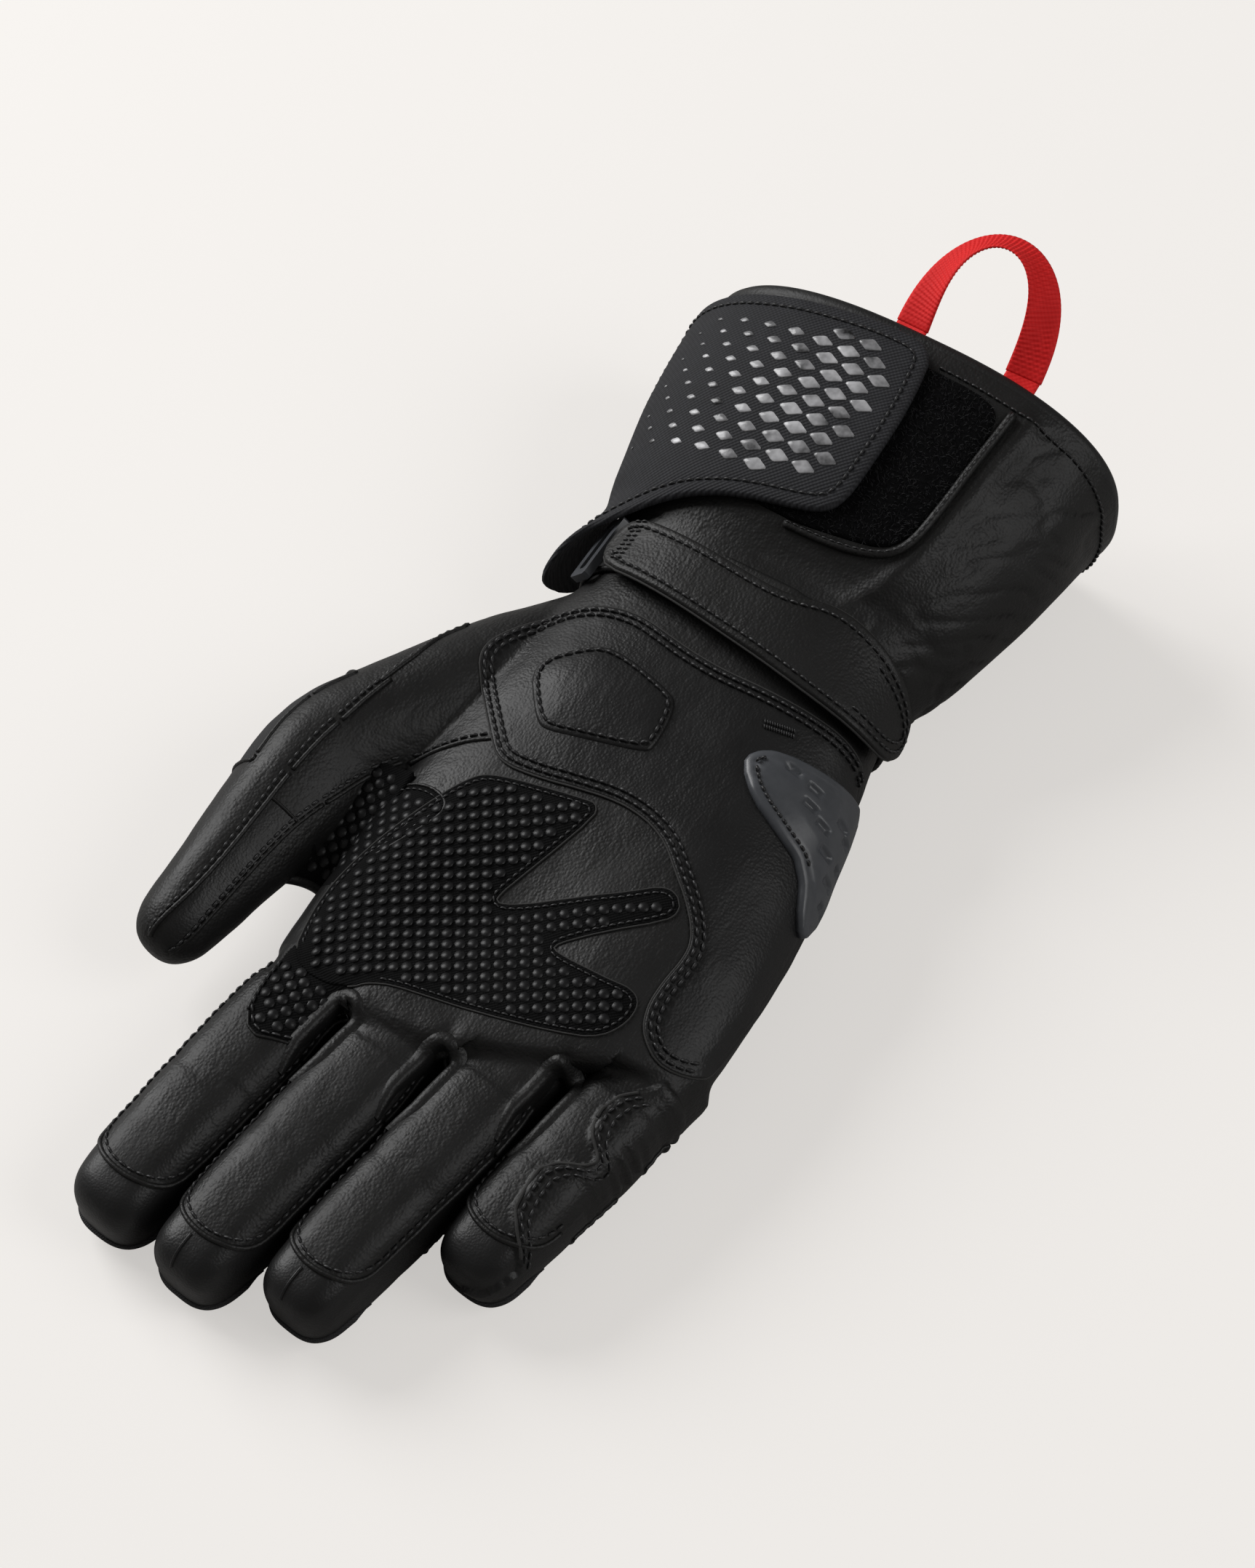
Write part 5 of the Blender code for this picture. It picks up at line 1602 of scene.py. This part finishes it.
def soft_waves(flat, depth):
    return 0.35 * MM * flat_waves(flat, 22 * MM, 4.0)


def flap_waves(flat, depth):
    """Soft waves, and the lower corner that stands off over the strap."""
    low = ramp(flat[:, 1], 76 * MM, -24 * MM)
    left = ramp(flat[:, 0], -32 * MM, -18 * MM)
    return soft_waves(flat, depth) + FLAP_CORNER * eased(low) * left


def seat_over(lift, relief):
    """A way to seat points over the cuff, at a lift and with a relief."""
    return lambda s, y, more=0.0: hover(s, y, more + lift + relief(np.stack((s, y), axis=1), None))


over_flap = seat_over(FLAP_LIFT + FLAP_THICK, flap_waves)
flap_heap = Heap()
lay(flap_heap, "flap_cloth", FLAP, FLAP_THICK, lift=FLAP_LIFT, edge=0.8 * MM, rows=(FLAP_ROW,),
    seat=seat_over(0.0, flap_waves))
add_rows(flap_heap, FLAP, (FLAP_ROW,), over_flap, THREAD_SINK, pitch=2.8 * MM, size=0.42 * MM)
lay(flap_heap, "hook", FLAP_HOOK, HOOK_THICK, lift=2.9 * MM, edge=0.4 * MM, seat=hover)
print("flap", len(flap_heap.faces), "faces with its hook tape")

# %% [markdown]
# ## Film print on the flap
#
# A print of bright film lozenges covers the flap and fades towards its hinge, so the lozenges get smaller
# there. Each one is a very thin patch. Those too near the edge are left out.

# %% Film print on the flap
LOZENGE = rounded(np.array([(-4.0, 0), (0, 2.2), (4.0, 0), (0, -2.2)]) * MM, 1, share=0.1)
printed = 0
for row, y in enumerate(np.arange(88, 137, 4.6)):
    for s in np.arange(-58 + (row % 2) * 4.1, 6, 8.2):
        size = np.clip((s + 68) / 52, 0.2, 1.0)
        shape = resample(LOZENGE * size, 0.6 * MM, closed=True) + np.array((s, y)) * MM
        if not within(shape, FLAP).all() or from_edge(shape, FLAP).min() < 6 * MM:
            continue
        lay(flap_heap, "film", shape, 0.35 * MM, lift=0.0, cell=1.2 * MM, edge=0.15 * MM, seat=over_flap)
        printed += 1
print("film marks", printed)

# %% [markdown]
# ## Wrist strap
#
# The strap is leather and turns on a ring on the thumb side. It hovers like the flap, has a raw edge and
# a row of stitches all round, a second row at its free end, and a bar of short stitches beside the ring.

# %% Wrist strap
STRAP = outline_of([(-42, 65), (-20, 62), (-3, 60), (12, 59), (24, 64), (38, 63), (50, 60), (60, 57),
                    (64, 51), (58, 41), (51, 37), (31, 36), (6, 39), (-20, 43), (-42, 47)])
STRAP_HOOK = outline_of([(56, 55), (20, 55), (20, 43), (31, 40.5), (50, 41), (56, 46)])
STRAP_LIFT, STRAP_THICK, STRAP_ROW = 4.3 * MM, 2.2 * MM, 2.6 * MM
over_strap = seat_over(STRAP_LIFT + STRAP_THICK, soft_waves)
strap_heap = Heap()
lay(strap_heap, "leather", STRAP, STRAP_THICK, lift=STRAP_LIFT, edge=0.7 * MM, rows=(STRAP_ROW,),
    relief=soft_waves, seat=hover)
add_rows(strap_heap, STRAP, (STRAP_ROW,), over_strap, THREAD_SINK, keep=lambda line: line[:, 0] > -39 * MM)
add_rows(strap_heap, STRAP, (5.0 * MM,), over_strap, 0.0, keep=lambda line: line[:, 0] > 40 * MM)
cut_edge(strap_heap, STRAP, hover, STRAP_LIFT + 0.75 * MM, 0.4 * MM)
lay(strap_heap, "hook", STRAP_HOOK, HOOK_THICK, lift=2.7 * MM, edge=0.4 * MM, seat=hover)
for k in range(9):
    ends = np.array(((-37.5, 49 + 1.7 * k), (-34.0, 49.5 + 1.7 * k))) * MM
    stitches(strap_heap, *over_strap(*ends.T, 0.05 * MM), 4 * MM, 0.33 * MM)
print("strap", len(strap_heap.faces), "faces")

# %% [markdown]
# ## Pull loop
#
# A band of red ribbed webbing is sewn into the cuff's edge and helps to pull the glove on. It rises in an
# arch and twists, so that it shows its flat side at the top. The band is bowed, thin at its edges and
# ribbed across, and a tail at each end runs on into the edge of the cuff.

# %% Line of the pull loop
LOOP_BASE = Vector((0.018, 0.1511, 0.0718))
LOOP_SPAN, LOOP_HEIGHT, LOOP_TILT = 36 * MM, 33 * MM, math.radians(42)
LOOP_WIDTH, LOOP_THICK = 11 * MM, 1.1 * MM
LOOP_BASE_TWIST, LOOP_TOP_TWIST = math.radians(12), math.radians(58)
LOOP_LINES, LOOP_COLUMNS = ((360, 15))
loop_x = np.array((1.0, 0.0, 0.0))
loop_rise = np.array((0.0, math.cos(LOOP_TILT), math.sin(LOOP_TILT)))
loop_out = np.cross(loop_x, loop_rise)
turns = np.linspace(0, math.pi, LOOP_LINES)
centre = (np.array(LOOP_BASE) - loop_x * (LOOP_SPAN / 2 * np.cos(turns))[:, None]
          + loop_rise * (LOOP_HEIGHT * np.sin(turns) ** 0.8)[:, None])
inward = loop_x * np.cos(turns)[:, None] - loop_rise * np.sin(turns)[:, None]
twist = (LOOP_BASE_TWIST + LOOP_TOP_TWIST * np.sin(turns))[:, None]
wide = np.cos(twist) * inward + np.sin(twist) * loop_out
ahead = unit_rows(np.gradient(centre, axis=0))
thick = unit_rows(np.cross(ahead, wide))
lengths = reach_of(centre)
print("pull loop", round(lengths[-1] * 1000, 1), "mm along its middle")

# %% Webbing of the pull loop
RIB_DEPTH, RIB_STEP = 0.15 * MM, 1.35 * MM
TAIL_LINES, TAIL_WAY = 12, np.array((0.0, -11 * MM, -3.2 * MM))
rib = RIB_DEPTH * np.sin(2 * math.pi * lengths / RIB_STEP)
spread = np.linspace(-1, 1, LOOP_COLUMNS)
bow = 0.5 * MM * (1 - spread ** 2)
edge_thin = np.sqrt(np.clip(1 - spread ** 8, 0.05, 1))
rows = []
for k in range(LOOP_LINES):
    line = centre[k] + spread[:, None] * LOOP_WIDTH / 2 * wide[k] + bow[:, None] * thick[k]
    half = (LOOP_THICK / 2 + rib[k]) * edge_thin
    rows.append(np.concatenate((line + half[:, None] * thick[k], (line - half[:, None] * thick[k])[::-1])))
rows = np.array(rows)
around = 2 * LOOP_COLUMNS
loop_faces = band_faces(LOOP_LINES, around) + end_faces(LOOP_LINES, around)
loop_heap = Heap().add(rows.reshape(-1, 3), loop_faces, "webbing")
for foot, last in ((centre[0], rows[0]), (centre[-1], rows[-1])):
    tail = foot + 0.94 * (last - foot) + np.linspace(-0.1, 1, TAIL_LINES)[:, None, None] * TAIL_WAY
    loop_heap.add(tail.reshape(-1, 3), band_faces(TAIL_LINES, around), "webbing")
print("webbing", len(loop_heap.faces), "faces")

# %% [markdown]
# ## Finishes: shared node groups
#
# Three effects come back in several finishes, so each is a node group. Grain makes the pebbles and fine
# wrinkles of leather, as a height. Weave makes a diagonal twill of threads. Wear finds the raised edges
# that rub bright, and breaks them up with noise.

# %% Helpers for nodes
def new_group(name, inputs, outputs):
    """An empty node group with float sockets; gives the tree, its input node and its output node."""
    tree_of = bpy.data.node_groups.new(name, "ShaderNodeTree")
    for label, value in inputs:
        socket = tree_of.interface.new_socket(name=label, in_out="INPUT", socket_type="NodeSocketFloat")
        socket.default_value = value
    for label in outputs:
        tree_of.interface.new_socket(name=label, in_out="OUTPUT", socket_type="NodeSocketFloat")
    return tree_of, tree_of.nodes.new("NodeGroupInput"), tree_of.nodes.new("NodeGroupOutput")


def feed(tree_of, node, inputs):
    """Give each input of a node a value, or a link from another node's output."""
    for label, value in inputs.items():
        if isinstance(value, bpy.types.NodeSocket):
            tree_of.links.new(value, node.inputs[label])
        else:
            node.inputs[label].default_value = value


def add(tree_of, kind, inputs, **settings):
    node = tree_of.nodes.new(kind)
    for label, value in settings.items():
        setattr(node, label, value)
    feed(tree_of, node, inputs)
    return node


def math_node(tree_of, operation, *values):
    return add(tree_of, "ShaderNodeMath", dict(enumerate(values)), operation=operation).outputs[0]


def place_of(tree_of, stretch=(1, 1, 1), turn=0.0):
    """Places on the object in metres, stretched and turned for a texture."""
    spot = add(tree_of, "ShaderNodeTexCoord", {}).outputs["Object"]
    turned = {"Vector": spot, "Scale": stretch, "Rotation": (0, 0, turn)}
    return add(tree_of, "ShaderNodeMapping", turned).outputs["Vector"]


def noise_at(tree_of, spot, scale, detail=3.0, roughness=0.55):
    inputs = {"Vector": spot, "Scale": scale, "Detail": detail, "Roughness": roughness}
    return add(tree_of, "ShaderNodeTexNoise", inputs).outputs["Fac"]

# %% Grain, weave and wear
def grain_group():
    sockets = [("Pebbles", 900.0), ("Depth", 1.0), ("Wrinkles", 1.0)]
    tree_of, given, result = new_group("grain", sockets, ["Height"])
    spot = place_of(tree_of)
    inputs = {"Vector": spot, "Scale": given.outputs["Pebbles"], "Smoothness": 0.6}
    pebbles = add(tree_of, "ShaderNodeTexVoronoi", inputs, feature="SMOOTH_F1")
    dome = math_node(tree_of, "SUBTRACT", 0.75, pebbles.outputs["Distance"])
    long_lines = noise_at(tree_of, place_of(tree_of, (1, 0.28, 1), 0.35), 210.0, 4.0, 0.62)
    lines = math_node(tree_of, "ABSOLUTE", math_node(tree_of, "SUBTRACT", long_lines, 0.5))
    crease = math_node(tree_of, "MINIMUM", math_node(tree_of, "MULTIPLY", lines, 7.0), 1.0)
    deep = math_node(tree_of, "MULTIPLY", dome, given.outputs["Depth"])
    deep = math_node(tree_of, "MULTIPLY", deep, noise_at(tree_of, spot, 45.0, 2.0))
    folds = math_node(tree_of, "MULTIPLY", crease, given.outputs["Wrinkles"])
    feed(tree_of, result, {"Height": math_node(tree_of, "ADD", deep, folds)})
    return tree_of


def weave_group():
    tree_of, given, result = new_group("weave", [("Threads", 900.0)], ["Height"])
    heights = []
    for turn in (0.78, -0.78):
        spot = place_of(tree_of, turn=turn)
        inputs = {"Vector": spot, "Scale": given.outputs["Threads"], "Distortion": 0.6}
        wave = add(tree_of, "ShaderNodeTexWave", inputs, wave_type="BANDS", bands_direction="X")
        heights.append(wave.outputs["Fac"])
    twill = math_node(tree_of, "ADD", heights[0], math_node(tree_of, "MULTIPLY", heights[1], 0.45))
    feed(tree_of, result, {"Height": twill})
    return tree_of


def wear_group():
    tree_of, given, result = new_group("wear", [("Amount", 1.0)], ["Mask"])
    edge = add(tree_of, "ShaderNodeNewGeometry", {}).outputs["Pointiness"]
    proud = math_node(tree_of, "MULTIPLY", math_node(tree_of, "SUBTRACT", edge, 0.53), 9.0)
    broken = noise_at(tree_of, place_of(tree_of), 330.0, 4.0, 0.7)
    rubbed = math_node(tree_of, "MULTIPLY", math_node(tree_of, "MAXIMUM", proud, 0.0), broken)
    scaled = math_node(tree_of, "MULTIPLY", rubbed, given.outputs["Amount"])
    feed(tree_of, result, {"Mask": math_node(tree_of, "MINIMUM", scaled, 1.0)})
    return tree_of


GRAIN, WEAVE, WEAR = grain_group(), weave_group(), wear_group()
print("node groups:", [group.name for group in bpy.data.node_groups])

# %% [markdown]
# ## Finishes: one material for each surface
#
# Each material mixes a dark and a light tone by a mask, sets the roughness over a small range and adds a
# bump. The leathers use Grain and Wear, the cloths use Weave with some dust in it, and the rest use plain
# noise. The floor glows a little, but only for the camera, so that it looks evenly lit.

# %% Helpers for materials
def start(kind):
    """The blank material of that name with its shader, ready for links."""
    material = finish(kind)
    material.use_nodes = True
    tree_of = material.node_tree
    return tree_of, tree_of.nodes["Principled BSDF"]


def use(tree_of, group, **values):
    return add(tree_of, "ShaderNodeGroup", values, node_tree=group)


def coat(tree_of, shader, mask, dark, light, rough_mask, rough, shine, height, distance):
    """Link a mix of two tones, a range of roughness and a bump to a shader."""
    # the sockets of a Mix node share names, so its factor and its colours go by number
    tones = {0: mask, 6: (*dark, 1), 7: (*light, 1)}
    spread = {"Value": rough_mask, "To Min": rough[0], "To Max": rough[1]}
    bump = {"Height": height, "Distance": distance, "Strength": 1.0}
    feed(tree_of, shader, {
        "Base Color": add(tree_of, "ShaderNodeMix", tones, data_type="RGBA").outputs[2],
        "Roughness": add(tree_of, "ShaderNodeMapRange", spread).outputs[0],
        "Specular IOR Level": shine,
        "Normal": add(tree_of, "ShaderNodeBump", bump).outputs["Normal"]})

# %% Leather, cloth and plain surfaces
LEATHER_SHINE = 0.34


def leather(kind, tone, rough, pebbles=1150.0, depth=0.6, wrinkles=0.14, wear=1.0):
    tree_of, shader = start(kind)
    grain = use(tree_of, GRAIN, Pebbles=pebbles, Depth=depth, Wrinkles=wrinkles)
    worn = use(tree_of, WEAR, Amount=wear).outputs["Mask"]
    light = tuple(min(1.0, channel * 2.6 + 0.006) for channel in tone)
    blotch = noise_at(tree_of, place_of(tree_of), 60.0, 3.0)
    mask = math_node(tree_of, "ADD", worn, math_node(tree_of, "MULTIPLY", blotch, 0.35))
    dull = math_node(tree_of, "SUBTRACT", blotch, math_node(tree_of, "MULTIPLY", worn, 0.4))
    coat(tree_of, shader, mask, tone, light, dull, (rough - 0.08, rough + 0.12), LEATHER_SHINE,
         grain.outputs["Height"], 0.36 * MM)


def cloth(kind, dark, light, threads, rough, distance, shine=0.5):
    tree_of, shader = start(kind)
    weave = use(tree_of, WEAVE, Threads=threads).outputs["Height"]
    dust = noise_at(tree_of, place_of(tree_of), 260.0, 4.0)
    mask = math_node(tree_of, "MULTIPLY", weave, dust)
    coat(tree_of, shader, mask, dark, light, dust, (rough - 0.06, rough + 0.06), shine, weave, distance)


def plain(kind, dark, light, scale, rough, distance=0.1 * MM, shine=0.5, contrast=1.0):
    tree_of, shader = start(kind)
    spots = noise_at(tree_of, place_of(tree_of), scale, 4.0, 0.6)
    tone = math_node(tree_of, "MULTIPLY", math_node(tree_of, "SUBTRACT", spots, 0.5), contrast)
    tone = math_node(tree_of, "ADD", tone, 0.5)
    coat(tree_of, shader, tone, dark, light, spots, (rough - 0.07, rough + 0.07), shine, spots, distance)

# %% The glove's surfaces
leather("leather", (0.0062, 0.0061, 0.0060), 0.46)
leather("back_leather", (0.0062, 0.0061, 0.0060), 0.48, wrinkles=0.12)
leather("smooth_leather", (0.0085, 0.0085, 0.0087), 0.40, pebbles=1500.0, depth=0.35, wrinkles=0.08,
        wear=0.8)
leather("overlay", (0.0064, 0.0064, 0.0066), 0.43, pebbles=1250.0, depth=0.55, wrinkles=0.14)
leather("binding", (0.0080, 0.0080, 0.0080), 0.46, pebbles=1300.0, depth=0.5, wrinkles=0.12)
plain("cut_edge", (0.014, 0.014, 0.0135), (0.045, 0.044, 0.043), 900.0, 0.8)
plain("thread", (0.007, 0.007, 0.0074), (0.024, 0.024, 0.0255), 1600.0, 0.45)
cloth("grip", (0.0015, 0.0015, 0.0016), (0.005, 0.005, 0.0053), 420.0, 0.85, 0.1 * MM, shine=0.12)
plain("grip_dot", (0.004, 0.004, 0.0043), (0.013, 0.013, 0.014), 700.0, 0.42, shine=0.3)
plain("slider", (0.050, 0.054, 0.060), (0.085, 0.090, 0.100), 240.0, 0.34, 0.06 * MM)
plain("pile", (0.001, 0.001, 0.0011), (0.006, 0.006, 0.0065), 900.0, 0.95, 0.7 * MM, shine=0.08)
plain("pile_hair", (0.004, 0.004, 0.0043), (0.024, 0.024, 0.026), 500.0, 0.7, shine=0.2)
plain("hook", (0.010, 0.010, 0.010), (0.035, 0.035, 0.036), 1500.0, 0.6, 0.3 * MM)
cloth("flap_cloth", (0.010, 0.010, 0.012), (0.042, 0.043, 0.048), 330.0, 0.74, 0.12 * MM, shine=0.3)
plain("film", (0.012, 0.012, 0.013), (0.62, 0.62, 0.64), 75.0, 0.2, 0.03 * MM, contrast=3.2)
cloth("stretch", (0.009, 0.009, 0.010), (0.030, 0.030, 0.032), 520.0, 0.8, 0.08 * MM)
cloth("lining", (0.012, 0.012, 0.013), (0.040, 0.040, 0.043), 480.0, 0.85, 0.08 * MM, shine=0.3)
cloth("webbing", (0.74, 0.008, 0.009), (0.98, 0.030, 0.030), 300.0, 0.7, 0.015 * MM, shine=0.3)
print("finishes:", len(finishes))

# %% Floor finish and carried pieces
FLOOR_GLOW = 0.545
plain("floor", (0.46, 0.447, 0.432), (0.47, 0.457, 0.442), 30.0, 0.8, 0.02 * MM)
floor_tree, floor_shader = start("floor")
seen = add(floor_tree, "ShaderNodeLightPath", {}).outputs["Is Camera Ray"]
glow = math_node(floor_tree, "MULTIPLY", seen, FLOOR_GLOW)
feed(floor_tree, floor_shader, {"Emission Color": (1.0, 0.972, 0.940, 1), "Emission Strength": glow})
for node, kind in (("knuckle_guard", "slider"), ("buckle_ring", "slider"), ("hand_lining", "lining")):
    carried = frame["nodes"][node]
    carried.data.materials.clear()
    carried.data.materials.append(finish(kind))
    print(node, "takes the finish", kind)

# %% [markdown]
# ## Put the pieces on their bodies
#
# The hand skin rides on the hand. The knuckle and tip pieces of each limb are baked in place and put on no
# body. The cuff and the overlays ride on the hand, the flap and the strap on bodies of their own, and the
# thumb's web and the loop are baked in place like the limb pieces.

# %% Put the hand skin on its body and bake the limb pieces in place
def put(heap, name, body, slot, *nodes):
    """Make the object of a heap, put it on its body and let it stand for its CAD nodes."""
    piece = heap.object(name)
    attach(piece, body)
    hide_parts(*nodes)
    return piece


put(skin_heaps["hand"], "hand_skin", "hand", "leather", "palm_panel", "back_panel", "thumb_base")
for name in names:
    limb = limbs[name]
    knuckle = skin_heaps[name + "_knuckle"].object(name + "_knuckle_skin")
    tip = skin_heaps[name + "_tip"].object(name + "_tip_skin")
    if name == "thumb":
        first = (KNUCKLE_REACH - 8 * MM, KNUCKLE_REACH + 8 * MM)
        second = (thumb_reach[3] - 9 * MM, thumb_reach[3] + 9 * MM)
        gussets = ("thumb_knuckle_gusset", "thumb_joint_gusset")
    else:
        first = (0.0, 0.42 * middle_of[name])
        second = (0.78 * middle_of[name], 1.22 * middle_of[name])
        gussets = (name + "_knuckle_gusset", name + "_middle_gusset")
    ends = [[tuple(limb.at(d)[0][0]) for d in pair] for pair in (first, second)]
    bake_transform(knuckle)
    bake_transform(tip)
    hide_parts(gussets[0], name + "_lower_stall")
    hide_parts(gussets[1], name + "_upper_stall", name + "_tip_cap")
print("skin pieces:", 1 + 2 * len(names))

# %% Put the rest on their bodies; the web and the loop are baked in place
put(cuff_heap, "cuff_skin", "hand", "leather", "cuff_palm_panel", "cuff_back_panel")
put(lining_heap, "cuff_inner", "hand", "lining_cloth", "cuff_lining")
put(binding_heap, "cuff_edge", "hand", "leather", "cuff_binding")
web_piece = web_heap.object("thumb_web")
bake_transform(web_piece)
put(overlay_heap, "overlay_leather", "hand", "smooth_leather", "heel_overlay")
pad_piece = put(pad_heap, "pad_leather", "hand", "smooth_leather", "thenar_pad")
put(grip_heap, "grip_cover", "hand", "grip_rubber", "grip_patch")
put(slider_heap, "slider_shell", "hand", "hard_plastic", "palm_slider")
put(pile_heap, "cuff_pile", "hand", "hook_and_loop", "cuff_pile_patch")
put(wrist_pile_heap, "wrist_pile", "hand", "hook_and_loop", "wrist_pile_patch")
put(flap_heap, "flap_sheet", "flap", "stretch_fabric", "cuff_flap", "flap_hook_tape")
put(strap_heap, "strap_leather", "strap", "leather", "wrist_strap", "strap_hook_tape")
loop_piece = loop_heap.object("loop_webbing")
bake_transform(loop_piece)
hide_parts("pull_loop")

# %% [markdown]
# ## Camera, light and floor
#
# The camera stands in front of the fingers and a little to the right, looking down at 55 degrees through
# a long lens, as in a shop photograph. One large soft lamp, low on the thumb side, gives the sheen on the
# leather. A weaker one fills the other side, and a pale floor takes the soft shadow.

# %% Camera
TARGET = Vector((0.0, -0.002, 0.03))
AZIMUTH, ELEVATION, DISTANCE = math.radians(32), math.radians(55), 1.2


def look(obj, place, target):
    obj.location = place
    obj.rotation_euler = (target - place).to_track_quat("-Z", "Y").to_euler()


camera_data = bpy.data.cameras.new("camera")
camera_data.lens = 100
camera_data.sensor_width = 36
camera = new_object("camera", camera_data)
flat_share = math.cos(ELEVATION)
away = Vector((math.sin(AZIMUTH) * flat_share, -math.cos(AZIMUTH) * flat_share, math.sin(ELEVATION)))
look(camera, TARGET + away * DISTANCE, TARGET)
bpy.context.scene.camera = camera
print("camera at", [round(v, 3) for v in camera.location])

# %% Light and floor
LIT_PLACE = Vector((0, 0, 0.03))


def lamp(name, place, size, watts):
    data = bpy.data.lights.new(name, "AREA")
    data.shape = "DISK"
    data.size = size
    data.energy = watts
    made_lamp = new_object(name, data)
    look(made_lamp, Vector(place), LIT_PLACE)


lamp("key", (-2.1, 0.35, 1.35), 1.7, 52)
lamp("fill", (1.7, 0.3, 1.4), 1.4, 13)
floor_mesh = new_mesh("floor", [(-6, -6, 0), (6, -6, 0), (6, 6, 0), (-6, 6, 0)], [(0, 1, 2, 3)])
floor_mesh.materials.append(finish("floor"))
floor = new_object("floor", floor_mesh)
world = bpy.data.worlds.new("studio")
bpy.context.scene.world = world
world.use_nodes = True
sky = world.node_tree.nodes["Background"]
feed(world.node_tree, sky, {"Color": (0.9, 0.87, 0.84, 1), "Strength": 0.16})
bpy.context.scene.view_settings.view_transform = "Standard"
print("lamps:", [light.name for light in bpy.data.lights])
